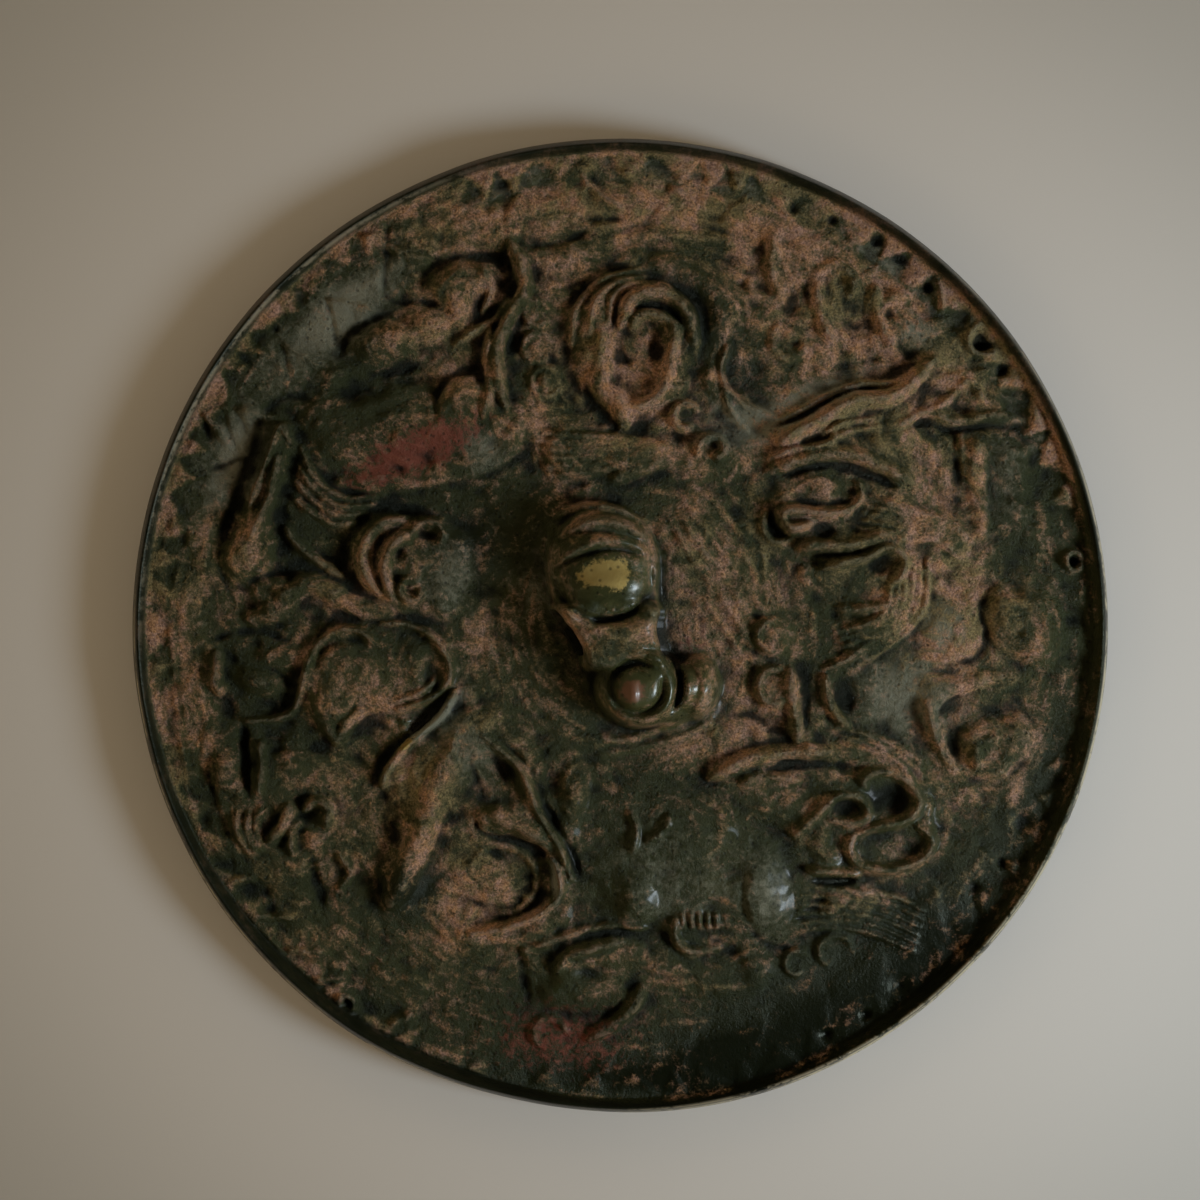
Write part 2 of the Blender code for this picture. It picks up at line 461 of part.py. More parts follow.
def carve_left_claws(carving):
    carving.slab([(-84, -24), (-80, -20), (-74, -21), (-62, -24), (-57, -30), (-56, -40), (-60, -50),
                 (-66, -56), (-74, -54), (-80, -44), (-84, -34)], 0.9, 8)
    carving.groove([(-77, -20), (-76.6, -26), (-75.6, -35.5)], 1.5, 1.7)
    carving.mound((-80, -29), (3.1, 6), 2.3)
    carving.mound((-67, -28), (5, 3.4), 2.2)
    carving.ridge([(-73.2, -23), (-72.8, -28), (-73.4, -34)], 1.1, 1.2)
    carving.ridge([(-67, -35.6), (-68.2, -39.6), (-71.4, -44)], 1.6, 1.3)
    carving.ridge([(-64.6, -37.6), (-62, -35.4), (-59.2, -37), (-59.8, -41)], 1.3, 1.3)
    carving.mound((-62.2, -43), (2.1, 2.4), 2.4)
    carving.dent((-61.8, -42.6), (1, 1), 0.7)
    carving.ridge([(-66.4, -47), (-66.8, -41.6), (-64.6, -39.4)], 1.1, 1.0)
    carving.groove([(-62.8, -46), (-62.4, -51), (-60.8, -57)], 1.7, 1.2)
    carving.strands([(-78, -37), (-77.4, -42), (-74.6, -47)], [(-72.6, -36), (-74, -40.6), (-73, -45.6)],
                    3, 0.9, 0.8)
    carving.groove([(-84.4, -29), (-82.6, -35), (-80.2, -41), (-76, -48)], 0.8, 0.7)
    carving.ridge([(-57.4, -46), (-55, -50), (-57.6, -54)], 1.0, 0.8)


def carve_left_face(carving):
    carving.slab([(-54, 20), (-48, 24), (-40, 23), (-33, 20.5), (-30.5, 15), (-31, 7), (-34, 1.5),
                 (-42, 2), (-49, 4), (-54, 9), (-55.5, 15)], 1.7, 3)
    carving.ridge([(-43.5, 22.4), (-49, 20.6), (-52.3, 16), (-52, 10.6), (-48.6, 6.4)], 1.4, 1.4)
    carving.ridge([(-41.8, 19.4), (-45.6, 17.4), (-47.6, 13), (-47.2, 8.6), (-46, 5.4)], 1.3, 1.3)
    carving.groove([(-44.5, 20.6), (-49, 17.6), (-50, 12.6), (-48.4, 8)], 1.0, 1.0)
    carving.dent((-39, 18.6), (2.6, 1.5), 1.3, turn=-8)
    carving.dent((-45, 15), (1.7, 1.7), 1.2)
    carving.curl((-39, 18.6), 3.2, 190, -230, 0.8, 0.9, 0.95)
    carving.mound((-41.6, 12.6), (3.4, 2.4), 2.8, turn=20)
    carving.curl((-42, 7.4), 2.9, 100, 290, 0.9, 1.1, 0.5)
    carving.mound((-36.6, 6.4), (2.4, 5.2), 3.2, turn=4)
    carving.mound((-33.5, 16.6), (2.4, 2.8), 2.6)
    carving.groove([(-54.6, 20.4), (-49.4, 24.4), (-43, 24), (-37, 22.8)], 1.1, 0.9)
    carving.ridge([(-68.4, 20.6), (-66, 17), (-61.6, 13.4), (-56.6, 10.4)], 1.1, 1.1)
    carving.ridge([(-76, 1.4), (-69.6, 3.6), (-64.4, 8.6), (-59.6, 7.4), (-54, 4.4), (-46, 2.4)],
                  2.6, 1.4)
    carving.mound((-71, 7.4), (4.8, 3), 1.9)
    carving.groove([(-76, 9.4), (-72, 10.6), (-66.6, 11.4)], 1.0, 0.9)


def carve_upper_limb(carving):
    carving.slab([(-69.5, 43.5), (-65.5, 39), (-68, 30), (-70.6, 22), (-70.4, 14), (-74, 9.3),
                 (-79.4, 9.2), (-81, 14), (-79.4, 20), (-76, 28), (-73, 36)], 2.1, 2.5)
    carving.ridge([(-66.6, 37), (-68.8, 41), (-70.6, 36), (-73, 30), (-75.4, 24)], 0.9, 1.3)
    carving.ridge([(-69, 35), (-70.4, 28), (-72.6, 22.6), (-75, 17.6)], 1.1, 1.4)
    carving.mound((-76, 13.6), (5.2, 4.6), 3.2, foot=0.6)
    carving.groove([(-62, 46), (-68, 47.2), (-72.6, 43.4), (-75.6, 35), (-78.6, 27), (-81.2, 19),
                   (-82, 11.5)], 1.6, 0.9)
    carving.slab([(-66, 41), (-62, 33), (-56, 27.6), (-48, 26), (-52, 22), (-58, 17), (-64, 15),
                 (-67.5, 22)], 1.0, 3)
    carving.strands([(-65, 37), (-62.4, 31), (-57, 26.6), (-48, 26.8)], [(-67, 26.6), (-63, 23.6),
                    (-58.6, 21), (-53, 21.4)], 4, 0.9, 0.9)


def carve_shoulder(carving):
    carving.slab([(-66, 46), (-55, 48), (-45, 50.5), (-38, 49), (-30, 51), (-24, 48), (-19.6, 43),
                 (-20.6, 38), (-27, 32.6), (-36, 30.6), (-48, 28.2), (-57, 28.6), (-63, 33), (-67, 40)],
                 2.3, 10)
    carving.ridge([(-58, 29), (-50, 28.4), (-42, 29), (-35, 31), (-28, 32.4), (-22, 36.4), (-20, 42)],
                  1.5, 0.9, slope=2.4)
    carving.mound((-31, 45.6), (6, 6), 3.0)
    carving.groove([(-37.6, 42), (-37.2, 47.6), (-33.4, 51.6), (-27.6, 52.8)], 1.3, 1.2)
    carving.mound((-58, 51.2), (3.8, 2.2), 1.6, turn=35)
    carving.groove([(-52, 51.4), (-46, 52.2), (-41, 54)], 1.1, 0.9)


def carve_upper_lumps(carving):
    carving.slab([(-39, 69), (-35, 73.4), (-28, 74.6), (-25.6, 71), (-29.6, 66), (-32.4, 60),
                 (-35.4, 63), (-37.4, 66)], 2.3, 2.2)
    carving.mound((-39, 61.8), (4.8, 3.7), 2.1, foot=0.6)
    carving.slab([(-55, 57.4), (-52, 60.6), (-46, 62.2), (-42, 60.4), (-41, 57), (-46, 54.2), (-52, 54)],
                 2.4, 2.6)
    carving.ridge([(-22.4, 78.6), (-20.4, 74), (-19.4, 69), (-22.6, 63), (-25.2, 56), (-24.8, 50),
                  (-23, 44.4)], 1.9, 1.8)
    carving.ridge([(-26.4, 61), (-27.2, 54), (-26.4, 48), (-28, 42.4)], 1.2, 1.3)
    carving.ridge([(-34.4, 57), (-30, 60), (-25.4, 63), (-22.4, 67.4)], 1.0, 0.9)
    carving.ridge([(-28, 74), (-26.4, 69), (-28.4, 63.6)], 0.9, 0.8)
    carving.groove([(-56.6, 55.6), (-55.6, 60), (-50.6, 62.6), (-45.6, 64.4)], 1.2, 0.7)
    carving.groove([(-41.6, 69.6), (-37.4, 74.4), (-30.4, 76), (-23.4, 75.8)], 1.2, 0.7)
    carving.groove([(-49, 68.4), (-46, 66.4), (-41.6, 66.4), (-36.6, 65.6)], 1.0, 0.7)
    carving.mound((-14, 75.6), (7, 3), 1.2, foot=1.2)
    carving.groove([(-19, 77.6), (-12, 78.4), (-7, 81)], 1.2, 0.8)
    carving.groove([(-10, 83), (-5, 83.6), (0, 83)], 0.9, 0.8)
    carving.ridge([(-8, 92), (-4, 88), (1, 84.6)], 0.9, 0.6)
    carving.ridge([(2, 79.6), (9, 80.6), (18, 79.6), (26, 76)], 1.6, 0.7)


FIGURES = (
    carve_spiral_head,
    carve_curls,
    carve_right_head,
    carve_northeast_field,
    carve_right_ribbon,
    carve_curl_column,
    carve_tail_knot,
    carve_hind_body,
    carve_eye_scroll,
    carve_fore_legs,
    carve_thigh,
    carve_left_claws,
    carve_left_face,
    carve_upper_limb,
    carve_shoulder,
    carve_upper_lumps,
    carve_knob,
)


# The band with the teeth, as height over the field; radius in metres, angle in degrees
def border_height(radius, angle):
    start = RADIUS - BORDER_WIDTH
    rise = np.clip((radius - start) / BORDER_SLOPE, 0, 1)
    height = BORDER_RISE * rise * rise * (3 - 2 * rise)

    outer = RADIUS - RIM_WIDTH - TOOTH_GAP
    pitch = 360 / SMALL_TEETH
    across = np.abs((angle / pitch) % 1 - 0.5) * 2
    reach = (outer - radius) / SMALL_TOOTH_LENGTH
    pit = np.clip(np.minimum(reach - across, 1) * (reach < 1.1), 0, 1)
    height = height - SMALL_TOOTH_DEPTH * pit

    inner = outer - SMALL_TOOTH_LENGTH
    pitch = 360 / LARGE_TEETH
    across = (angle / pitch) % 1
    reach = np.clip((inner - radius) / LARGE_TOOTH_LENGTH, 0, 1)
    inside = (np.abs(across - 0.5) * 2 < reach) & (inner - radius < LARGE_TOOTH_LENGTH)
    facet = np.clip((across - 0.5) / (reach + 1e-6) + 0.5, 0, 1)
    return height + LARGE_TOOTH_HEIGHT * inside * facet


# The bead round the edge, as height over the border
def rim_height(radius):
    crest = RADIUS - RIM_CREST
    inner = np.clip((radius - RADIUS + RIM_WIDTH) / (RIM_WIDTH - RIM_CREST), 0, 1)
    outer = np.clip((radius - crest) / RIM_CREST, 0, 1)
    return RIM_HEIGHT * np.sin(inner * math.pi / 2) - (RIM_Z - EDGE_HEIGHT) * outer ** 1.4


# Worn stretch of the edge, as a share of the radius
def edge_shape(angle):
    off = (angle - EDGE_WEAR_AT + 180) % 360 - 180
    return 1 - EDGE_WEAR / RADIUS * np.exp(-(off / EDGE_WEAR_SPREAD) ** 2)


# A square grid drawn out to a disc, so that its lines follow the edge
def grid_to_disc(a, b):
    wide = np.abs(a) > np.abs(b)
    along = np.where(wide, a, b)
    turn = np.where(wide, b / np.where(wide, a, 1), a / np.where(wide | (b == 0), 1, b))
    angle = np.where(wide, turn * math.pi / 4, math.pi / 2 - turn * math.pi / 4)
    share = np.abs(along)
    band = RIM_BAND / RADIUS
    share = np.where(share < 1 - RIM_RINGS, share * (1 - band) / (1 - RIM_RINGS),
                     1 - (1 - share) * band / RIM_RINGS)
    reach = np.sign(along) * share * RADIUS
    return reach * np.cos(angle), reach * np.sin(angle)


def surface_height(x, y):
    radius = np.hypot(x, y)
    angle = np.degrees(np.arctan2(y, x)) % 360
    carving = Carving(x / HUNDREDTH, y / HUNDREDTH)
    for carve in FIGURES:
        carve(carving)
    fade = np.clip((RADIUS - RIM_WIDTH - radius) / RIM_WIDTH, 0, 1)
    z = FIELD_Z + carving.height() * fade + border_height(radius, angle) + rim_height(radius)
    return np.maximum(z, THINNEST_PLATE), edge_shape(angle)


# The carved side alone, as an open surface with few triangles
def carved_surface():
    bpy.ops.mesh.primitive_grid_add(x_subdivisions=GRID_CELLS, y_subdivisions=GRID_CELLS, size=2)
    grid = bpy.context.active_object
    places = np.empty(len(grid.data.vertices) * 3)
    grid.data.vertices.foreach_get("co", places)
    places = places.reshape(-1, 3)
    x, y = grid_to_disc(places[:, 0], places[:, 1])
    z, shape = surface_height(x, y)
    grid.data.vertices.foreach_set("co", np.column_stack((x * shape, y * shape, z)).ravel())
    grid.data.update()
    thin = grid.modifiers.new("thin out", "DECIMATE")
    thin.ratio = TOP_TRIANGLES / (2 * GRID_CELLS ** 2)
    graph = bpy.context.evaluated_depsgraph_get()
    mesh = bpy.data.meshes.new_from_object(grid.evaluated_get(graph))
    bpy.data.objects.remove(grid, do_unlink=True)
    return mesh


# Wall, chamfer and plain face under the carved surface
def close_below(mesh):
    shape = bmesh.new()
    shape.from_mesh(mesh)
    edge = [e for e in shape.edges if e.is_boundary]
    for level, inset in ((FACE_CHAMFER, 0), (0, FACE_CHAMFER)):
        made = bmesh.ops.extrude_edge_only(shape, edges=edge)["geom"]
        for vert in (g for g in made if isinstance(g, bmesh.types.BMVert)):
            reach = math.hypot(vert.co.x, vert.co.y)
            vert.co.x *= 1 - inset / reach
            vert.co.y *= 1 - inset / reach
            vert.co.z = level
        edge = [g for g in made if isinstance(g, bmesh.types.BMEdge) and g.is_boundary]
    bmesh.ops.contextual_create(shape, geom=edge)
    bmesh.ops.triangulate(shape, faces=shape.faces)
    bmesh.ops.recalc_face_normals(shape, faces=shape.faces)
    shape.to_mesh(mesh)
    shape.free()


# Arched cutter for the cord hole
def hole_cutter(collection):
    arch_points = 10
    outline = [(-HOLE_WIDTH / 2, 0), (HOLE_WIDTH / 2, 0)]
    for i in range(arch_points + 1):
        angle = math.pi * i / arch_points
        outline.append((HOLE_WIDTH / 2 * math.cos(angle), HOLE_WALL + HOLE_ARCH * math.sin(angle)))
    shape = bmesh.new()
    ring = [shape.verts.new((-HOLE_REACH, HOLE_OFFSET + y, FIELD_Z + HOLE_SILL + z)) for y, z in outline]
    face = shape.faces.new(ring)
    pushed = bmesh.ops.extrude_face_region(shape, geom=[face])["geom"]
    moved = [g for g in pushed if isinstance(g, bmesh.types.BMVert)]
    bmesh.ops.translate(shape, verts=moved, vec=(2 * HOLE_REACH, 0, 0))
    bmesh.ops.recalc_face_normals(shape, faces=shape.faces)
    mesh = bpy.data.meshes.new("cord hole cutter")
    shape.to_mesh(mesh)
    shape.free()
    cutter = bpy.data.objects.new("cord_hole_cutter", mesh)
    cutter.hide_render = True
    cutter.display_type = "WIRE"
    collection.objects.link(cutter)
    return cutter


def main():
    clear_scene()
    parts = collection_named("bronze mirror")
    cutters = collection_named("cutters")
    mesh = carved_surface()
    close_below(mesh)
    mesh.name = "mirror"
    mesh.materials.clear()
    mesh.materials.append(bronze_material())
    mesh.shade_smooth()
    mesh.set_sharp_from_angle(angle=math.radians(50))
    mirror = bpy.data.objects.new("mirror", mesh)
    parts.objects.link(mirror)
    hole = mirror.modifiers.new("cord hole", "BOOLEAN")
    hole.operation = "DIFFERENCE"
    hole.solver = "EXACT"
    hole.object = hole_cutter(cutters)


main()
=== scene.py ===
# Ancient bronze mirror lying on its plain face, its relief and pierced knob up
import math
import bmesh
import bpy
import numpy as np
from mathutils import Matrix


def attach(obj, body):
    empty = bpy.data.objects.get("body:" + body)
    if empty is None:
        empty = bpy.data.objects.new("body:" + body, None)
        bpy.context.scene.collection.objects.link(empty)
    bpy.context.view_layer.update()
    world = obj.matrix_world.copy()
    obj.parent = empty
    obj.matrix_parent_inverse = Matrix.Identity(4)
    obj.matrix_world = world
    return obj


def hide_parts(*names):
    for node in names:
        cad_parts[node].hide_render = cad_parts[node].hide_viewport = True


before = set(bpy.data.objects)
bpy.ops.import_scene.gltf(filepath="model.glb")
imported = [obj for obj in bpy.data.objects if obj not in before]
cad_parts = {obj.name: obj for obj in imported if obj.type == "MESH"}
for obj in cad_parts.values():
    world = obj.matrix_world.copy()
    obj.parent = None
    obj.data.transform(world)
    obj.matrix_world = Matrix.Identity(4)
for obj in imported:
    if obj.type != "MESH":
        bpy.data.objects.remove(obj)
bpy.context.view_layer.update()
print("frame loaded:", len(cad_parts), "node")

mirror = {
    "radius": 0.07497,
    "field": 0.0030,          # height of the ground between the figures
    "thinnest": 0.0018,
    "step": 0.0010,           # one unit of carved height
    "borderWidth": 0.0150,
    "borderRise": 0.0006,
    "borderSlope": 0.0060,
    "rimWidth": 0.0028,
    "rimHeight": 0.0020,
    "rimCrest": 0.0018,       # from the edge in to the top of the bead
    "edgeHeight": 0.0016,     # where the slanting wall meets the upright edge
    "wallCurve": 1.4,
    "faceChamfer": 0.0005,
    "wear": (0.0006, 258, 16),    # depth, bearing and spread of the flattened edge
    "gridCells": 540,         # across the disc, before faces are saved on the smooth ground
    "triangles": 190000,
    "rimRings": 0.15,         # share of the rings that lie in the rim
    "rimBand": 0.0075,
}
teeth = {
    "smallCount": 75, "smallLength": 0.0045, "smallHeight": 0.0007,
    "largeCount": 37, "largeLength": 0.0085, "largeHeight": 0.0005,
    "gap": 0.0002, "smallSteep": 3, "largeSteep": 4, "rowLap": 0.6,
    "uneven": 0.35, "unevenSize": 5.0, "sway": 0.9, "swaySize": 3.0,    # sway in degrees
    "earthRow": (1.1, 0.8), "earthLevel": 0.55,       # earth fills the gaps between the small teeth
    "clear": ((95, 28, 0.5), (52, 26, 0.6), (18, 14, 0.25), (-22, 16, 0.3), (-45, 18, 0.2),
              (142, 22, 0.25), (172, 14, 0.3), (215, 20, 0.2), (240, 14, 0.2)),  # bearing, spread, strength
    "faint": 0.35, "gone": (303, 14), "goneShare": 0.7,
}
hole = {
    "width": 0.0070, "wall": 0.0032, "arch": 0.0020, "sill": 0.0003,
    "offset": -0.0008, "reach": 0.0110, "bridge": 0.0020, "domeRise": 0.0009, "sideDomeDrop": 0.0003,
    "archPieces": 16,
    "paintedShadeDepth": 0.0004, "paintedShadeReach": 30,     # painted shade: the inside of the hole is painted black
}
bridgeHeight = (hole["sill"] + hole["wall"] + hole["arch"] + hole["bridge"]) / mirror["step"]
domeHeight = bridgeHeight + hole["domeRise"] / mirror["step"]
sideDomeHeight = domeHeight - hole["sideDomeDrop"] / mirror["step"]

stroke = {
    "foot": 1.15,             # over 1 hollows the foot of a line
    "endWidth": 0.35, "endRise": 0.3,         # shares left at the ends of a line
    "cutWidth": 0.8, "cutDepth": 0.62, "massRise": 0.9, "lineRise": 1.2,
    "curlStep": 40, "strandTaper": 0.3,
}
softening = {
    "mass": 1.0, "line": 0.26, "cut": 0.33, "band": 0.25, "earthRow": 0.35,
    "knobMass": 0.35, "knobLine": 0.3, "knobCut": 0.3, "knobEdge": 0.4,
}

# the relief is carved on a square sheet of points, measured in hundredths of the radius
sheet = {"points": 1121, "reach": 101.0}
sheetStep = 2 * sheet["reach"] / (sheet["points"] - 1)
sheetLine = np.linspace(-sheet["reach"], sheet["reach"], sheet["points"])
sheetU, sheetV = np.meshgrid(sheetLine, sheetLine)


# a smooth curve through a few points
def smoothPath(points, steps=6, closed=False):
    points = [np.array(point, float) for point in points]
    count = len(points)
    path = []
    for i in range(count if closed else count - 1):
        start, end = points[i], points[(i + 1) % count]
        before = points[i - 1] if closed or i > 0 else 2 * start - end
        after = points[(i + 2) % count] if closed or i + 2 < count else 2 * end - start
        for k in range(steps):
            t = k / steps
            path.append(0.5 * (2 * start + (end - before) * t
                               + (2 * before - 5 * start + 4 * end - after) * t ** 2
                               + (3 * start - before - 3 * end + after) * t ** 3))
    path.append(points[0] if closed else points[-1])
    return np.array(path)


def pathDistance(u, v, path):
    best = np.full(u.shape, 1e9)
    side = np.zeros(u.shape)
    along = np.zeros(u.shape)
    spans = len(path) - 1
    for i in range(spans):
        du, dv = path[i + 1] - path[i]
        fromU, fromV = u - path[i][0], v - path[i][1]
        share = np.clip((fromU * du + fromV * dv) / (du ** 2 + dv ** 2 + 1e-9), 0, 1)
        offU, offV = fromU - share * du, fromV - share * dv
        distance = offU ** 2 + offV ** 2
        nearer = distance < best
        best = np.where(nearer, distance, best)
        side = np.where(nearer, du * offV - dv * offU, side)
        along = np.where(nearer, (i + share) / spans, along)
    return np.sqrt(best), np.sign(side), along


# carving tools: masses keep the tallest of what overlaps, lines stand on them, cuts go into them
class Carving:
    def __init__(self):
        self.mass = np.zeros(sheetU.shape)
        self.line = np.zeros(sheetU.shape)
        self.cut = np.zeros(sheetU.shape)

    def near(self, points, reach):
        low, high = np.min(points, axis=0) - reach, np.max(points, axis=0) + reach
        first = [max(0, int((value + sheet["reach"]) / sheetStep)) for value in (low[1], low[0])]
        last = [int((value + sheet["reach"]) / sheetStep) + 2 for value in (high[1], high[0])]
        return slice(first[0], last[0]), slice(first[1], last[1])

    def domeShape(self, at, half, turn, foot):
        near = self.near([np.array(at, float)], max(half))
        cos, sin = math.cos(math.radians(turn)), math.sin(math.radians(turn))
        x, y = sheetU[near] - at[0], sheetV[near] - at[1]
        square = ((x * cos + y * sin) / half[0]) ** 2 + ((y * cos - x * sin) / half[1]) ** 2
        return near, np.clip(1 - square, 0, 1) ** foot

    def mound(self, at, half, rise, turn=0, foot=0.8):
        near, shape = self.domeShape(at, half, turn, foot)
        self.mass[near] = np.maximum(self.mass[near], rise * shape)

    def dent(self, at, half, depth, turn=0, foot=1.0):
        near, shape = self.domeShape(at, half, turn, foot)
        self.cut[near] = np.maximum(self.cut[near], depth * stroke["cutDepth"] * shape)

    def slab(self, outline, rise, soft):
        path = smoothPath(outline, closed=True)
        near = self.near(path, 0.1)
        u, v = sheetU[near], sheetV[near]
        inside = np.zeros(u.shape, bool)
        for (fromU, fromV), (toU, toV) in zip(path[:-1], path[1:]):
            if fromV != toV:
                crosses = (fromV > v) != (toV > v)
                inside ^= crosses & (u < (toU - fromU) * (v - fromV) / (toV - fromV) + fromU)
        edge = 1 - np.clip(pathDistance(u, v, path)[0] / soft, 0, 1)
        self.mass[near] = np.maximum(self.mass[near], inside * rise * (1 - edge ** 2))

    # a slope over 1 spreads the left-hand side of the line
    def ridge(self, points, width, rise, slope=1.0, taper=0.15, layer="line"):
        path = smoothPath(points)
        near = self.near(path, width * max(slope, 1 / slope))
        distance, side, along = pathDistance(sheetU[near], sheetV[near], path)
        wide = np.where(side > 0, width * max(slope, 1), width * max(1 / slope, 1))
        end = np.clip(np.minimum(along, 1 - along) / taper, 0, 1) ** 0.5
        narrowed = stroke["endWidth"] + (1 - stroke["endWidth"]) * end
        lowered = stroke["endRise"] + (1 - stroke["endRise"]) * end
        shape = np.clip(1 - (distance / (wide * narrowed)) ** 2, 0, 1) ** stroke["foot"]
        kept = getattr(self, layer)
        kept[near] = np.maximum(kept[near], shape * rise * lowered)

    def groove(self, points, width, depth):
        self.ridge(points, width * stroke["cutWidth"], depth * stroke["cutDepth"], layer="cut")

    def curl(self, at, radius, start, sweep, width, rise, shrink=0.5, layer="line"):
        count = max(4, int(abs(sweep) / stroke["curlStep"]))
        points = []
        for i in range(count + 1):
            angle = math.radians(start + sweep * i / count)
            reach = radius * (1 - (1 - shrink) * i / count)
            points.append((at[0] + reach * math.cos(angle), at[1] + reach * math.sin(angle)))
        self.ridge(points, width, rise, layer=layer)

    # hair, manes and flames
    def strands(self, first, last, count, width, rise, layer="line"):
        first, last = np.array(first, float), np.array(last, float)
        for i in range(count):
            share = i / (count - 1)
            between = first * (1 - share) + last * share
            self.ridge(between, width, rise, taper=stroke["strandTaper"], layer=layer)


# the figures, stroke by stroke; heights in units, places in hundredths of the radius


# the pierced knob: hooded eye over the hole, ringed nipple and side lobe under it
def carveKnob(form):
    form.slab([(-14.8, 12), (-14.4, 19), (-9.6, 24.9), (-4.6, 25.6), (0, 25), (5.5, 20.8), (7.4, 15), (8, 5),
               (8.4, -1), (10.5, -6.2), (15, -6.6), (19, -9.6), (20, -13), (17.6, -17), (11, -20),
               (4, -20.6), (-3, -18.5), (-5.6, -13), (-6.6, -7), (-9.4, -1), (-13.4, 3)], 3.4, 2.6)
    form.mound((-3.6, 12), (11.4, 13.2), sideDomeHeight, foot=0.38)
    form.mound((-2.8, 8.8), (9.8, 7.0), domeHeight, foot=0.3)
    form.slab([(-13.6, 5), (-12.8, 1.6), (-8.8, -4.4), (-7, -9), (2, -10), (9.8, -8), (8.5, -1), (8, 5),
               (-2, 8)], bridgeHeight, 2.6)
    form.mound((3.6, -11.8), (9.0, 8.8), sideDomeHeight, foot=0.38)
    form.mound((15.2, -12.2), (5.2, 6.6), 5.4, turn=-15, foot=0.6)
    form.ridge([(-14.4, 12), (-14.2, 18.6), (-12.6, 22.4), (-9.4, 24.3), (-4.6, 24.8), (-0.6, 24.2),
                (3.5, 22), (5.5, 20), (6.7, 17)], 0.8, 1.1)
    form.groove([(-13, 20.2), (-9.6, 22.9), (-4.6, 23.4), (1, 22.4), (4.6, 19.8)], 1.0, 1.6)
    form.ridge([(-11, 19.6), (-4.6, 21.6), (0.4, 20.9), (4.6, 18)], 1.5, 0.9)
    form.groove([(-12.6, 17.2), (-8, 19), (-2, 19), (3, 17.8), (5.2, 16)], 1.1, 1.5)
    form.ridge([(-11.6, 14), (-5, 17.2), (1, 17.2), (4.8, 15.6)], 1.6, 0.6)
    form.groove([(-12.6, 11.5), (-9.6, 13.5), (-4.6, 15.3), (0.4, 15.5), (4.4, 14.4)], 1.1, 2.2)
    form.groove([(-12.8, 11), (-12.1, 6.5), (-8, 2.4), (-3.6, 1.5), (2.4, 3), (5.4, 7), (6, 12)], 1.2, 2.4)
    form.ridge([(-11.4, 4), (-8.4, 1.9), (-5.4, 0.8)], 1.2, 1.0)
    form.ridge([(-6, -0.4), (0, -0.6), (6.4, 1.2)], 1.9, 0.8)
    form.ridge([(6.8, 17), (7.3, 10), (7.5, 2)], 0.7, 1.2)
    form.curl((3.5, -12), 5.1, 60, 320, 1.2, 1.7, 1, "cut")
    form.ridge([(1.6, -13), (3.2, -13)], 3.0, 0.7, taper=0.01)
    form.curl((3.6, -11.8), 6.9, -130, 230, 1.5, 0.8, 1)
    form.groove([(4.5, -4.4), (8.4, -4.8), (11.4, -8), (12, -12), (10.8, -16)], 1.2, 1.9)
    form.ridge([(11.6, -7), (13.2, -10.4), (12.6, -15), (8, -18.8), (1.5, -19.6)], 0.9, 1.2)
    form.groove([(14.6, -8), (15.6, -12), (14, -17)], 0.8, 0.9)
    form.ridge([(-7.9, -22.5), (-0.1, -23.2), (7.8, -20.9), (15.7, -17.6), (19.6, -14.2)], 1.0, 0.9)
    form.ridge([(-5, -26.4), (3.9, -24.7), (13.1, -22), (19, -19)], 0.8, 0.6)


# the coiled head over the knob
def carveSpiralHead(form):
    form.slab([(-10, 60), (-10, 52), (-5, 44.5), (1, 40), (8, 43), (14, 47), (17, 55), (16.5, 64), (10, 71),
               (0, 73), (-7, 68)], 1.3, 5)
    form.strands([(-10, 57), (-9, 65), (-4, 70.5), (4, 73)], [(-2.5, 62), (-1.5, 67), (2, 69.5), (8, 70)], 3,
                 0.9, 0.9)
    form.ridge([(0, 61), (2, 66), (6, 68), (10, 67.4), (14, 63.5), (15.3, 57)], 2.1, 1.7)
    form.ridge([(2, 60.5), (4, 63.6), (8, 63.2), (11.3, 60.5), (10.4, 56), (9.6, 51), (7.5, 46.8),
                (3.5, 44.6), (0.8, 45.5)], 1.5, 1.4)
    form.ridge([(-4, 60), (-3, 54), (-4.5, 49), (0, 46), (1, 40)], 2.2, 1.1)
    form.groove([(0.2, 63.5), (4, 65.4), (9, 65), (12.6, 62)], 0.9, 0.7)
    form.dent((7, 56.5), (2.1, 5.5), 1.2, turn=8)
    form.dent((1, 54.3), (2.2, 1.8), 1.2)
    form.dent((5.6, 49.6), (2.6, 1.5), 1.0, turn=25)
    form.mound((11.3, 51.3), (1.6, 1.6), 2.6)
    form.curl((11.3, 51.3), 2.8, 60, 300, 0.8, 0.8, 0.95)
    form.groove([(-10.5, 57), (-9.5, 51), (-5, 45), (-0.5, 40.5)], 2.2, 0.7)
    form.slab([(2, 76), (-4, 74), (3, 73.5), (10, 71.5), (16, 66), (17.5, 58), (16, 50), (20, 44),
               (27, 40.5), (32, 42), (24, 46), (20.5, 52), (22, 58), (25, 65), (20, 72), (12, 76)], 1.9, 3.5)
    form.ridge([(22.3, 58), (20.6, 53.5), (21.5, 49), (25, 45.6), (32, 42.4)], 0.9, 1.0)
    form.dent((27, 51), (6.5, 6.5), 1.0, foot=1.6)
    form.groove([(20.5, 70), (23, 67.5), (26, 65)], 0.8, 0.7)


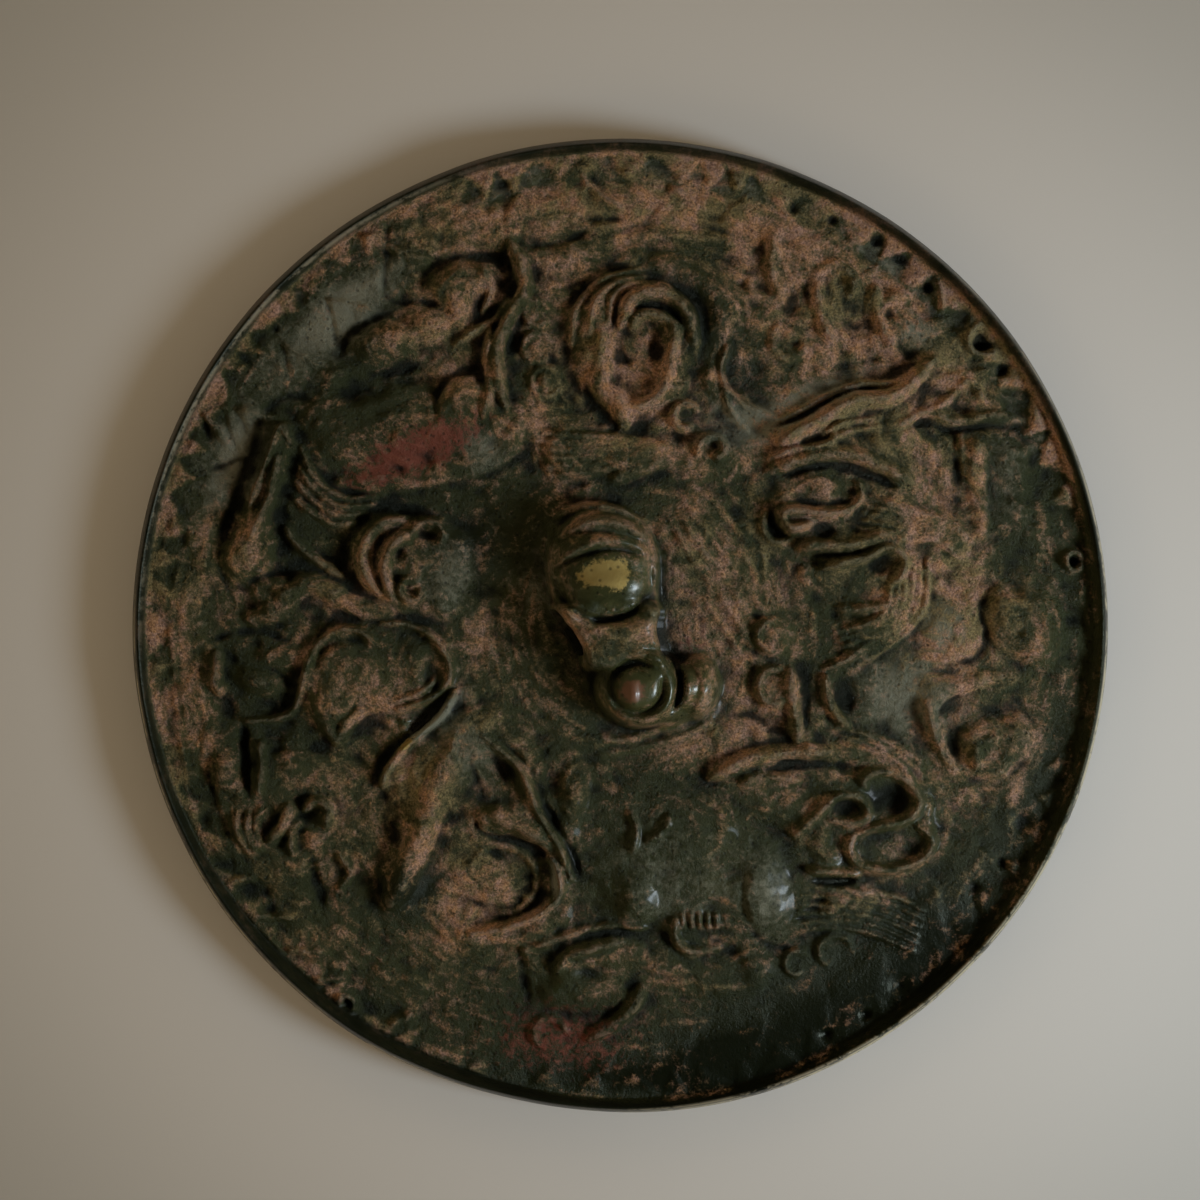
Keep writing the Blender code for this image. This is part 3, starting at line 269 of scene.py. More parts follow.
# the streaked slope right of the knob
def carveKnobFlank(form):
    form.mound((13, 17), (15, 11), 1.6, turn=-30, foot=1.6)
    form.strands([(10, 22), (14, 15), (19, 8)], [(17, 28), (24, 20), (31, 12)], 5, 0.8, 0.4)
    form.strands([(17, 6), (21, 0), (25, -6)], [(24, 12), (28, 5), (32, -1)], 4, 0.8, 0.35)


# small curls and the fringe between the head and the knob
def carveCurls(form):
    for at, size in (((-17, 57), 3.0), ((-17, 64), 2.6), ((-15, 50), 3.2)):
        form.mound(at, (size * 0.62, size * 0.62), 1.5)
        form.curl(at, size, 20, 320, 0.8, 0.7, 0.95)
    form.curl((13.3, 42.5), 3.2, 30, 290, 1.1, 1.3, 0.55)
    form.curl((19, 36), 3.6, 200, -300, 1.2, 1.3, 0.35)
    form.strands([(-19, 40), (-9, 39), (0, 38.6), (8, 37), (14, 33.5)], [(-14, 31), (-6, 31.5), (1, 33.5),
                 (7, 35.5), (11, 35)], 6, 0.9, 0.7)
    form.ridge([(-2, 29.5), (3, 31), (8, 33.3), (15, 32.6)], 1.2, 1.0, slope=2)
    form.slab([(-20, 41), (-10, 42), (0, 40.5), (12, 39), (22, 38), (27, 33), (20, 29), (8, 31.5), (0, 29),
               (-10, 30), (-17, 33)], 0.9, 4)


# the long-snouted head at the right, its ribbon and its mane
def carveRightHead(form):
    form.slab([(28, 41), (36, 44), (46, 50), (56, 51), (64, 56), (67, 53), (60, 46), (62, 38), (64, 28),
               (72, 22), (72, 14), (62, 10), (60, 3), (52, -3), (44, 2), (38, 10), (35, 17), (30, 24),
               (31, 31), (28, 35)], 1.2, 6)
    form.ridge([(31.6, 37.6), (35, 39.2), (40, 42), (47, 46), (54, 46.4), (59, 49.6), (64, 54.6)], 2.0, 1.7)
    form.mound((34, 38.6), (3.2, 2.4), 2.6, turn=30)
    form.groove([(31, 41), (36, 42.4), (41, 45.4), (48, 48.4), (56, 49)], 0.7, 0.8)
    form.ridge([(31.4, 41.6), (37, 44.4), (43, 47.6), (49, 49.6), (56, 49.8), (62, 54)], 0.7, 0.9)
    form.curl((32.6, 49.6), 11.6, 172, 66, 0.6, 0.7, 1)
    form.strands([(39, 39.6), (43, 42.8), (50, 44)], [(42, 37), (46, 39.6), (54, 41)], 3, 0.8, 0.7)
    form.ridge([(30, 34.2), (35, 36), (39.5, 36.6), (43, 37.8), (43.4, 40)], 0.9, 1.2)
    form.dent((41, 38.6), (2, 1.3), 0.9, turn=20)
    form.ridge([(29.5, 31.4), (36, 33.6), (42, 35), (48, 34.6), (54, 32), (59, 29.5)], 1.6, 1.5, slope=1.4)
    form.groove([(33.5, 30.8), (39, 32.8), (45, 32.6), (51, 30.8), (56, 28.6)], 1.5, 1.2)
    form.mound((41, 28.6), (6, 2.7), 2.5, turn=4)
    form.groove([(35.5, 26), (41, 25.2), (46.5, 25.6)], 0.8, 1.0)
    form.ridge([(48, 30), (49, 27.4), (47.5, 24.6), (44, 23.4)], 0.8, 1.0)
    form.ridge([(47, 23.4), (40.5, 23), (35.5, 23.8), (33, 23.4), (32.8, 21.4), (35, 20), (39, 21.4)],
                1.5, 1.8)
    form.dent((31, 20.8), (2.2, 3.4), 1.2)
    form.ridge([(29.6, 24), (29.4, 20), (31.6, 17.4), (35.5, 18)], 1.0, 0.9)
    form.dent((41.6, 19.6), (2.4, 1.8), 1.4)
    form.ridge([(36, 16), (40, 16.8), (45.5, 16.4), (50, 17.6), (57, 20)], 1.5, 1.5)
    form.groove([(38, 14.4), (43, 14.8), (49, 15.6)], 0.9, 1.1)
    form.strands([(50, 26.5), (58, 24), (66, 21.5), (72, 17)], [(48, 18.6), (56, 18), (64, 17.6), (70, 13)],
                 6, 1.0, 0.9)
    form.dent((40, 13), (3.4, 1.3), 1.1, turn=-20)
    form.ridge([(40.5, 11.8), (45, 13), (49.5, 14), (54, 16.3), (57.6, 14), (57, 10.6), (54.5, 8.4)],
                1.2, 1.5)
    form.dent((52.8, 12.6), (2.8, 2.6), 1.2)
    form.strands([(62.5, 14), (62, 5), (57, -2), (47, -8.5)], [(55, 9), (54, 4), (51, 1), (44, -1)], 6,
                 1.0, 1.0)
    form.ridge([(41, -8.8), (46, -6.6), (50, -3.6), (55, -0.4)], 1.0, 1.1)
    form.ridge([(44, 4), (50, 3.6), (55, 5)], 1.2, 0.9)


# beads and soft folds behind the right head
def carveNortheastField(form):
    for at, size in (((63, 36), 2.6), ((59, 33), 2.2), ((66, 32), 2.2), ((72, 36), 2.4), ((72, 31), 2.0)):
        form.mound(at, (size, size), 1.3, foot=0.6)
    form.groove([(56, 39.6), (62, 42), (67, 40), (74, 41), (81, 40.4)], 1.2, 0.9)
    form.ridge([(57, 41), (63, 44), (68, 42), (76, 43), (82, 42)], 1.3, 0.9)
    form.groove([(68, 40), (69, 30), (68, 22)], 1.0, 0.7)
    form.slab([(76, 40), (82, 39), (84, 28), (81, 18), (76, 20), (75, 30)], 0.7, 3)
    form.ridge([(62, 43), (67, 46.5), (71, 50), (74, 46)], 1.0, 0.7)
    form.dent((47.2, 63.4), (2.4, 4.4), 1.0)
    form.dent((27.6, 75.2), (2.2, 4.6), 0.8, turn=-20)
    form.dent((34.4, 65.6), (2.4, 3.6), 0.8, turn=-10)
    form.dent((60.6, 55.8), (3.6, 1.4), 0.9, turn=10)
    form.ridge([(31, 79), (31, 72), (33, 66)], 1.6, 0.9)
    form.ridge([(40, 72), (40.6, 65), (43, 58)], 1.8, 1.0)
    form.ridge([(52, 70), (53, 62), (56, 57)], 1.6, 0.9)
    form.mound((63, 55), (3.4, 2.6), 1.6)
    form.ridge([(72.4, 38), (73, 28), (73.6, 18)], 2.2, 0.6)
    form.ridge([(69.4, 40), (70, 31)], 0.9, 0.4)
    form.groove([(44, 53.6), (49, 54), (53, 55)], 1.0, 0.8)
    form.curl((35, 58), 4.5, 120, 250, 1.3, 0.7, 0.5)
    form.curl((43, 70), 5, -40, 240, 1.4, 0.6, 0.5)
    form.curl((57, 63), 5, 60, 260, 1.4, 0.6, 0.5)
    form.curl((30, 70), 4, 150, 240, 1.2, 0.6, 0.5)


# the broad ribbon at the right edge
def carveRightRibbon(form):
    form.slab([(76, 6), (83, 8), (90, 4), (90, -4), (84, -8), (77, -5), (75, 0)], 2.0, 3)
    form.groove([(77, 9), (73.6, 4), (74.6, -2), (72.5, -6.4), (65, -7.6)], 1.1, 0.9)
    form.mound((67, -1), (8, 9), 1.2, foot=1.2)
    form.slab([(61, -14), (62, -10.6), (68, -9.6), (80, -8.5), (84, -11), (76, -12.6), (68, -14.5),
               (65.5, -18), (67, -25), (70, -31), (66, -30), (62.5, -22)], 1.8, 2)
    form.groove([(64.6, -19), (66.5, -15.4), (73, -12.8), (80, -10.6)], 0.8, 1.0)
    form.ridge([(62, -15), (64, -22), (68, -29)], 1.4, 0.7)
    form.slab([(69.5, -30), (69, -24), (71.5, -19.5), (79, -17.4), (84, -21), (82, -27), (77, -31)],
               1.9, 2.5)
    form.ridge([(72, -29), (73, -24), (77, -22)], 1.3, 0.7)
    form.groove([(75, -33), (79, -29.5), (83, -27)], 1.5, 0.9)


# curls in a column right of the knob
def carveCurlColumn(form):
    form.mound((31.4, -2), (3.4, 3.6), 1.7)
    form.curl((31.4, -2), 3.8, 80, 220, 1.0, 0.9, 0.8)
    form.mound((31.6, -12.4), (4.2, 4.8), 1.8)
    form.curl((31.6, -12.4), 4.2, 70, 240, 1.1, 1.0, 0.75)
    form.dent((32, -12.6), (1.6, 1.6), 0.9)
    form.groove([(27.6, -7), (26.6, -11), (28.4, -15.6)], 1.3, 0.8)
    form.ridge([(34.6, -8), (35, -14), (35.8, -19), (36, -24)], 1.6, 1.4)
    form.groove([(37.6, -9), (38, -15), (37.4, -22)], 1.2, 0.7)
    form.ridge([(42, -9.5), (42.2, -14), (44, -18), (47, -20.5)], 1.3, 1.4)
    form.dent((46, -14), (2.8, 4.8), 1.2)
    form.groove([(22, -18.4), (26, -18), (30, -20)], 1.2, 0.7)


# the knotted tail at the lower right
def carveTailKnot(form):
    form.slab([(20, -31), (27, -26), (36, -24.6), (46, -23), (55, -25), (62, -31), (65, -38), (64, -47),
               (57, -51), (47, -50.5), (36, -47), (32, -42), (24, -36)], 1.0, 4)
    form.ridge([(18, -31), (23, -28), (29, -25.8), (36, -25.2), (43, -25.4)], 1.9, 1.5)
    form.ridge([(24, -32), (30, -30.2), (37, -31.4)], 1.2, 0.9)
    form.groove([(27, -31.4), (33, -28.4), (42, -28), (50, -28.6)], 1.7, 1.3)
    form.strands([(44, -20.4), (52, -22.4), (58, -25.4), (63, -29)], [(46, -24), (52, -25.4), (57, -28),
                 (61, -32)], 3, 0.7, 0.7)
    form.dent((45.4, -36.6), (2.9, 2.3), 1.3, turn=-8)
    form.dent((54.8, -35.2), (5.0, 4.0), 1.4, turn=-25, foot=0.8)
    form.dent((55.4, -44.6), (7.4, 4.0), 1.5, turn=6, foot=0.8)
    form.mound((54.4, -44.8), (5.2, 2.4), 2.0, turn=6)
    form.ridge([(35, -42.6), (39.5, -38.4), (44, -34.4), (48.6, -34.6), (50.2, -38), (47, -39.8),
                (42.6, -39)], 1.2, 1.1)
    form.ridge([(50, -33), (49.6, -30.6), (53, -29.2), (58, -31), (60.6, -35.4), (58, -39), (52, -40.6),
                (47.4, -42)], 1.3, 1.2)
    form.ridge([(48, -41.6), (46.4, -44.6), (48.6, -48.4), (55, -49.3), (61.6, -47), (63.4, -43), (60, -40)],
                1.3, 1.2)
    form.ridge([(38, -49.4), (43, -49.8), (49, -50.2)], 1.2, 1.5)
    form.groove([(39.5, -51.8), (44, -52.2), (48, -51.4)], 1.2, 1.1)
    form.mound((40.5, -43.6), (3, 2.6), 2.3)
    form.mound((43, -47), (3.4, 1.8), 2.3)


# the smooth haunch and its claws under the knob
def carveHindBody(form):
    form.slab([(0, -32), (8, -30), (20, -34), (30, -42), (35, -48), (38, -56), (34, -64), (26, -66),
               (18, -60), (8, -62), (-2, -61), (-5, -52), (-3, -40)], 1.3, 9)
    form.mound((13, -43), (15, 11), 2.3, foot=1.2)
    form.mound((28.4, -54.0), (6.8, 9.6), 2.8, turn=6, foot=0.9)
    form.mound((3.5, -55), (5.5, 7), 2.8, foot=0.9)
    form.ridge([(10, -37.4), (9, -41), (5, -44)], 0.9, 0.7)
    form.ridge([(2, -37.5), (3.3, -41), (2.4, -46)], 1.0, 0.9)
    form.groove([(26, -49), (24.6, -55), (27, -62), (31, -65), (36, -65.6)], 1.2, 0.9)
    form.strands([(38, -52.8), (46, -53.6), (56, -55), (62, -58)], [(34, -62.6), (42, -61.2), (50, -62),
                 (60, -66)], 6, 0.8, 0.8)
    for k in range(5):
        form.ridge([(12.6 + 1.7 * k, -58), (12.9 + 1.7 * k, -61.6)], 0.6, 0.9)
    form.ridge([(11.4, -59), (11.2, -63), (14, -66), (20.5, -65)], 1.2, 1.2)
    form.groove([(13, -64.2), (17, -65.3), (21, -63.8)], 0.9, 0.9)
    form.slab([(4, -69), (12, -67.5), (22, -67), (31, -66), (31, -72), (26, -76), (14, -75), (5, -72)],
               1.0, 3)
    form.mound((27.4, -70), (3.4, 4.2), 2.2)
    for k in range(3):
        form.mound((16.8 + 3 * k, -73), (1.4, 1.9), 2.2)
    form.groove([(4, -70.6), (10, -71.4), (15, -71)], 1.0, 1.3)
    form.ridge([(-7, -84.5), (-1, -81), (2.6, -77.5), (4.6, -73.4)], 1.9, 1.5)
    form.curl((43.5, -66.4), 4, 10, 230, 1.0, 0.7, 0.7)
    form.curl((36, -68.6), 2.8, 30, 280, 0.9, 0.7, 0.7)
    form.dent((57, -73), (2.6, 2.6), 0.8)


# the scroll with an eye at the bottom
def carveEyeScroll(form):
    form.slab([(-14, -70), (-11, -66.6), (-5, -64.4), (2, -63), (5, -67), (1, -73), (-5, -78),
               (-14, -78)], 1.4, 3)
    form.ridge([(-13.6, -71), (-11, -67.6), (-5.6, -65.4), (1, -64)], 1.5, 1.1)
    form.ridge([(-20, -66.5), (-11, -63.4), (-2, -61.2), (6, -61.6)], 0.9, 0.9)
    form.dent((-5.4, -70.8), (4.6, 2.2), 1.3, turn=8)
    for k in range(7):
        form.mound((-15 + 2.6 * k, -75.2 - 1.4 * (k % 2)), (1.5, 1.3), 2.0)
    form.groove([(-21, -66), (-20, -72), (-19, -77)], 1.7, 0.9)
    form.curl((-15, -84), 4.5, 0, 230, 1.2, 0.7, 0.5)


# the forelegs at the lower left
def carveForeLegs(form):
    form.slab([(-31, -16), (-38, -21), (-44.5, -25.5), (-48.4, -31), (-47, -39), (-49.5, -50), (-49, -58.5),
               (-43, -58), (-39, -50), (-36, -42), (-31, -35), (-28, -28), (-24, -22), (-23, -16)], 1.5, 5)
    form.ridge([(-33.4, -12.6), (-36, -17.4), (-40.4, -21.6), (-44.4, -25), (-47.6, -29.4), (-48.6, -33)],
                0.9, 1.5, taper=0.08)
    form.groove([(-35, -11), (-38.4, -17), (-43, -21.6), (-48.4, -27), (-50.8, -33)], 1.8, 0.9)
    form.ridge([(-34, -25), (-38.4, -36), (-42.6, -47.6), (-47.4, -57)], 3.4, 1.4)
    form.ridge([(-36.6, -33), (-40.6, -43), (-44.6, -52)], 1.1, 0.5)
    form.slab([(-24, -20), (-17, -24), (-15, -33), (-14, -40), (-10, -47), (-11, -56), (-14.5, -47),
               (-20, -44), (-28, -42), (-30, -38.6), (-26, -36), (-22, -35), (-22, -29), (-26, -24)], 1.4, 3)
    form.ridge([(-33.4, -21), (-34.4, -28), (-34.6, -34)], 0.9, 0.8)
    form.ridge([(-28, -22), (-20.4, -29), (-17, -37), (-12.4, -45), (-9.8, -52)], 1.1, 1.0)
    form.groove([(-25.6, -22), (-18.6, -29.4), (-15.4, -37), (-11, -45), (-8.4, -52)], 1.5, 1.3)
    form.strands([(-31, -25), (-30, -29), (-28, -34)], [(-26, -26), (-24.6, -29), (-23, -33)], 2, 0.8,
                 0.6, "cut")
    form.ridge([(-29.4, -38.4), (-24, -38.6), (-18, -42), (-14.2, -46)], 2.5, 1.2, taper=0.3)
    form.dent((-24.4, -51.6), (11.4, 9.4), 1.5, turn=-8, foot=0.8)
    form.groove([(-29.6, -38), (-28.6, -41.8), (-22, -44), (-16.8, -45.6), (-13.8, -49)], 1.1, 1.5)
    form.ridge([(-15.4, -46.4), (-12.9, -50), (-12.6, -55), (-16.8, -58.8), (-23.6, -61.4), (-31, -62.6)],
                1.1, 1.5, taper=0.2)
    form.mound((-26.6, -51.4), (8.4, 5.6), 1.5, turn=-10)
    form.curl((-24.4, -52.2), 7.6, 150, -250, 0.9, 0.5, 0.9)
    form.curl((-24.4, -53), 4.6, 140, -260, 0.8, 0.5, 0.9, "cut")
    form.slab([(-34, -63), (-24, -61.6), (-14, -58.6), (-9, -58), (-12, -62), (-20, -65), (-30, -66.5)],
               1.2, 2.5)
    form.mound((-9.4, -34.6), (3.4, 8), 1.9, turn=-10)
    form.mound((-11, -42), (2.6, 4), 1.7)


# the coiled thigh at the left
def carveThigh(form):
    form.slab([(-66, -18), (-65, -8), (-60, -1), (-54, 0.6), (-47, 1), (-40, 1), (-35, -3), (-32.6, -9),
               (-35, -14), (-41, -17.5), (-48, -18), (-54, -19), (-58, -24), (-61, -20)], 1.1, 2.5)
    form.mound((-55.4, -9.8), (8.4, 8.4), 2.6, foot=0.85)
    form.mound((-58, -15), (5.4, 7), 2.9, turn=-15)
    form.mound((-41.4, -6.4), (4.6, 5.0), 2.4)
    form.ridge([(-60, -20), (-57.6, -23), (-55, -19.4), (-52, -16.6)], 1.6, 1.2)
    form.ridge([(-77, -19.2), (-71, -18.8), (-67, -17.4), (-65, -13), (-63.8, -8), (-61.6, -3.6),
                (-57.6, -0.6), (-53, -0.8), (-49, -4)], 0.8, 1.1, taper=0.05)
    form.groove([(-62.4, -9), (-60, -4.6), (-56, -2.6), (-51.6, -3.6)], 1.3, 1.1)
    form.ridge([(-49, 0.8), (-43.6, 0.6), (-38.4, -1.8), (-35, -6.4), (-35, -11), (-38.6, -14.6),
                (-46, -17)], 0.8, 1.2, taper=0.08)
    form.dent((-38.8, -9.4), (2.4, 4.6), 1.4, turn=15)
    form.ridge([(-45, -14.8), (-40.6, -13.4), (-37.4, -10.6)], 0.8, 0.9)
    for k in range(3):
        form.ridge([(-45 + 0.2 * k, -19 - 1.1 * k), (-43 + 0.2 * k, -19.3 - 1.1 * k)], 0.5, 0.6)
    form.ridge([(-82, -4.6), (-82.2, -9.4), (-81.6, -14)], 1.5, 1.4)
    form.groove([(-84, -3), (-79, -1.2), (-73, -1), (-67, -3.4)], 1.3, 1.0)
    form.mound((-74, -11), (5.4, 3.2), 2.2, turn=-20)
    form.mound((-70, -6), (4.4, 3), 1.6, turn=-15)
    form.groove([(-77, -7.6), (-71, -8.6), (-67, -12)], 0.9, 0.9)


# claws and toes under the thigh
def carveLeftClaws(form):
    form.slab([(-84, -24), (-80, -20), (-74, -21), (-62, -24), (-57, -30), (-56, -40), (-60, -50),
               (-66, -56), (-74, -54), (-80, -44), (-84, -34)], 0.9, 8)
    form.groove([(-77, -20), (-76.6, -26), (-75.6, -35.5)], 1.5, 1.7)
    form.mound((-80, -29), (3.1, 6), 2.3)
    form.mound((-67, -28), (5, 3.4), 2.2)
    form.ridge([(-73.2, -23), (-72.8, -28), (-73.4, -34)], 1.1, 1.2)
    form.ridge([(-67, -35.6), (-68.2, -39.6), (-71.4, -44)], 1.6, 1.3)
    form.ridge([(-64.6, -37.6), (-62, -35.4), (-59.2, -37), (-59.8, -41)], 1.3, 1.3)
    form.mound((-62.2, -43), (2.1, 2.4), 2.4)
    form.dent((-61.8, -42.6), (1, 1), 0.7)
    form.ridge([(-66.4, -47), (-66.8, -41.6), (-64.6, -39.4)], 1.1, 1.0)
    form.groove([(-62.8, -46), (-62.4, -51), (-60.8, -57)], 1.7, 1.2)
    form.strands([(-78, -37), (-77.4, -42), (-74.6, -47)], [(-72.6, -36), (-74, -40.6), (-73, -45.6)], 3,
                 0.9, 0.8)
    form.groove([(-84.4, -29), (-82.6, -35), (-80.2, -41), (-76, -48)], 0.8, 0.7)
    form.ridge([(-57.4, -46), (-55, -50), (-57.6, -54)], 1.0, 0.8)


# the round face at the left
def carveLeftFace(form):
    form.slab([(-54, 20), (-48, 24), (-40, 23), (-33, 20.5), (-30.5, 15), (-31, 7), (-34, 1.5), (-42, 2),
               (-49, 4), (-54, 9), (-55.5, 15)], 1.7, 3)
    form.ridge([(-43.5, 22.4), (-49, 20.6), (-52.3, 16), (-52, 10.6), (-48.6, 6.4)], 1.4, 1.4)
    form.ridge([(-41.8, 19.4), (-45.6, 17.4), (-47.6, 13), (-47.2, 8.6), (-46, 5.4)], 1.3, 1.3)
    form.groove([(-44.5, 20.6), (-49, 17.6), (-50, 12.6), (-48.4, 8)], 1.0, 1.0)
    form.dent((-39, 18.6), (2.6, 1.5), 1.3, turn=-8)
    form.dent((-45, 15), (1.7, 1.7), 1.2)
    form.curl((-39, 18.6), 3.2, 190, -230, 0.8, 0.9, 0.95)
    form.mound((-41.6, 12.6), (3.4, 2.4), 2.8, turn=20)
    form.curl((-42, 7.4), 2.9, 100, 290, 0.9, 1.1, 0.5)
    form.mound((-36.6, 6.4), (2.4, 5.2), 3.2, turn=4)
    form.mound((-33.5, 16.6), (2.4, 2.8), 2.6)
    form.groove([(-54.6, 20.4), (-49.4, 24.4), (-43, 24), (-37, 22.8)], 1.1, 0.9)
    form.ridge([(-68.4, 20.6), (-66, 17), (-61.6, 13.4), (-56.6, 10.4)], 1.1, 1.1)
    form.ridge([(-76, 1.4), (-69.6, 3.6), (-64.4, 8.6), (-59.6, 7.4), (-54, 4.4), (-46, 2.4)], 2.6, 1.4)
    form.mound((-71, 7.4), (4.8, 3), 1.9)
    form.groove([(-76, 9.4), (-72, 10.6), (-66.6, 11.4)], 1.0, 0.9)


# the raised limb at the far left
def carveUpperLimb(form):
    form.slab([(-69.5, 43.5), (-65.5, 39), (-68, 30), (-70.6, 22), (-70.4, 14), (-74, 9.3), (-79.4, 9.2),
               (-81, 14), (-79.4, 20), (-76, 28), (-73, 36)], 2.1, 2.5)
    form.ridge([(-66.6, 37), (-68.8, 41), (-70.6, 36), (-73, 30), (-75.4, 24)], 0.9, 1.3)
    form.ridge([(-69, 35), (-70.4, 28), (-72.6, 22.6), (-75, 17.6)], 1.1, 1.4)
    form.mound((-76, 13.6), (5.2, 4.6), 3.2, foot=0.6)
    form.groove([(-62, 46), (-68, 47.2), (-72.6, 43.4), (-75.6, 35), (-78.6, 27), (-81.2, 19), (-82, 11.5)],
                 1.6, 0.9)
    form.slab([(-66, 41), (-62, 33), (-56, 27.6), (-48, 26), (-52, 22), (-58, 17), (-64, 15),
               (-67.5, 22)], 1.0, 3)
    form.strands([(-65, 37), (-62.4, 31), (-57, 26.6), (-48, 26.8)], [(-67, 26.6), (-63, 23.6), (-58.6, 21),
                 (-53, 21.4)], 4, 0.9, 0.9)


# the wide shoulder over the left face
def carveShoulder(form):
    form.slab([(-66, 46), (-55, 48), (-45, 50.5), (-38, 49), (-30, 51), (-24, 48), (-19.6, 43), (-20.6, 38),
               (-27, 32.6), (-36, 30.6), (-48, 28.2), (-57, 28.6), (-63, 33), (-67, 40)], 2.3, 10)
    form.ridge([(-58, 29), (-50, 28.4), (-42, 29), (-35, 31), (-28, 32.4), (-22, 36.4), (-20, 42)], 1.5, 0.9,
                slope=2.4)
    form.mound((-31, 45.6), (6, 6), 3.0)
    form.groove([(-37.6, 42), (-37.2, 47.6), (-33.4, 51.6), (-27.6, 52.8)], 1.3, 1.2)
    form.mound((-58, 51.2), (3.8, 2.2), 1.6, turn=35)
    form.groove([(-52, 51.4), (-46, 52.2), (-41, 54)], 1.1, 0.9)


# lumps and stems at the upper left
def carveUpperLumps(form):
    form.slab([(-39, 69), (-35, 73.4), (-28, 74.6), (-25.6, 71), (-29.6, 66), (-32.4, 60), (-35.4, 63),
               (-37.4, 66)], 2.3, 2.2)
    form.mound((-39, 61.8), (4.8, 3.7), 2.1, foot=0.6)
    form.slab([(-55, 57.4), (-52, 60.6), (-46, 62.2), (-42, 60.4), (-41, 57), (-46, 54.2), (-52, 54)],
               2.4, 2.6)
    form.ridge([(-22.4, 78.6), (-20.4, 74), (-19.4, 69), (-22.6, 63), (-25.2, 56), (-24.8, 50), (-23, 44.4)],
                1.9, 1.8)
    form.ridge([(-26.4, 61), (-27.2, 54), (-26.4, 48), (-28, 42.4)], 1.2, 1.3)
    form.ridge([(-34.4, 57), (-30, 60), (-25.4, 63), (-22.4, 67.4)], 1.0, 0.9)
    form.ridge([(-28, 74), (-26.4, 69), (-28.4, 63.6)], 0.9, 0.8)
    form.groove([(-56.6, 55.6), (-55.6, 60), (-50.6, 62.6), (-45.6, 64.4)], 1.2, 0.7)
    form.groove([(-41.6, 69.6), (-37.4, 74.4), (-30.4, 76), (-23.4, 75.8)], 1.2, 0.7)
    form.groove([(-49, 68.4), (-46, 66.4), (-41.6, 66.4), (-36.6, 65.6)], 1.0, 0.7)
    form.mound((-14, 75.6), (7, 3), 1.2, foot=1.2)
    form.groove([(-19, 77.6), (-12, 78.4), (-7, 81)], 1.2, 0.8)
    form.groove([(-10, 83), (-5, 83.6), (0, 83)], 0.9, 0.8)
    form.ridge([(-8, 92), (-4, 88), (1, 84.6)], 0.9, 0.6)
    form.ridge([(2, 79.6), (9, 80.6), (18, 79.6), (26, 76)], 1.6, 0.7)


# cuts, bars, pits and rings of the border
def carveBorderMarks(form):
    for cut in (((-47.5, 83), (-48.5, 67)), ((-36.5, 82), (-37, 74)), ((-60, 67), (-58, 58)),
                ((-69, 58), (-67, 49)), ((-71, 63), (-70, 60)), ((-78, 44), (-76, 39)),
                ((-85.5, 44), (-83.5, 38)), ((-84, 32), (-77, 34.5)), ((-10, 83), (-1, 83.5))):
        form.groove(cut, 1.1, 0.9)
    for bar in (((-53, 80), (-40, 74.5)), ((-60, 66.5), (-50, 64.5)), ((-69, 58), (-61, 53)),
                ((-78, 44), (-70, 42.5)), ((-85, 44), (-79, 36)), ((-80, -52), (-74, -51)),
                ((-75, -59), (-66, -59)), ((-68, -66), (-60, -66)), ((-62, -72), (-56, -71)),
                ((-47, -81), (-42, -79)), ((-8, 92), (-4, 88), (1, 85)), ((10, 90), (16, 85))):
        form.ridge(bar, 1.0, 0.7)
    for at, size in (((35, 85), 1.5), ((43, 83), 1.3), ((52, 79), 1.6), ((57, 75), 1.2), ((63, 69), 1.3),
                     ((70, 65), 1.4), ((78, 52), 1.5), ((82, -40), 2.6), ((78, -48), 1.7), ((72, -53), 1.5),
                     ((57, -73), 1.4), ((50, -79), 1.3), ((42, -83), 1.3)):
        form.dent(at, (size, size), 1.3)
    for at in ((81, 50.7), (84.3, 43.2), (88, 35.7), (91, 27.2)):
        form.mound(at, (2.3, 2.8), 1.1)
    form.ridge([(64.2, 71.4), (65.6, 64)], 1.0, 1.0)
    form.ridge([(74.6, 67), (71.6, 63), (70.4, 58)], 0.9, 0.9)
    for at, size in (((73.6, 58.6), 3.1), ((92.2, 13.4), 1.8), ((-56, -77), 1.8)):
        form.dent(at, (size * 0.65, size * 0.85), 2.2)
        form.curl(at, size, 0, 350, 1.0, 1.0, 1)


figures = (carveSpiralHead, carveKnobFlank, carveCurls, carveRightHead, carveNortheastField,
           carveRightRibbon, carveCurlColumn, carveTailKnot, carveHindBody, carveEyeScroll,
           carveForeLegs, carveThigh, carveLeftClaws, carveLeftFace, carveUpperLimb, carveShoulder,
           carveUpperLumps, carveBorderMarks)


def blurred(grid, scale):
    frequency = np.fft.fftfreq(sheet["points"], sheetStep)
    half = np.fft.rfftfreq(sheet["points"], sheetStep)
    soften = np.exp(-2 * (math.pi * scale) ** 2 * (frequency[:, None] ** 2 + half[None, :] ** 2))
    return np.fft.irfft2(np.fft.rfft2(grid) * soften, grid.shape)


# seeded noise with features of the given size, spread evenly about zero
def softNoise(seed, size):
    grid = blurred(np.random.default_rng(seed).standard_normal(sheetU.shape), size)
    return grid / grid.std()


# soft patches: middle, half sizes, turn and strength of each
def patches(places, base=0.0):
    grid = np.full(sheetU.shape, float(base))
    for u, v, halfU, halfV, turn, strength in places:
        cos, sin = math.cos(math.radians(turn)), math.sin(math.radians(turn))
        x, y = sheetU - u, sheetV - v
        square = ((x * cos + y * sin) / halfU) ** 2 + ((y * cos - x * sin) / halfV) ** 2
        grid += strength * np.exp(-square)
    return np.clip(grid, 0, 1)


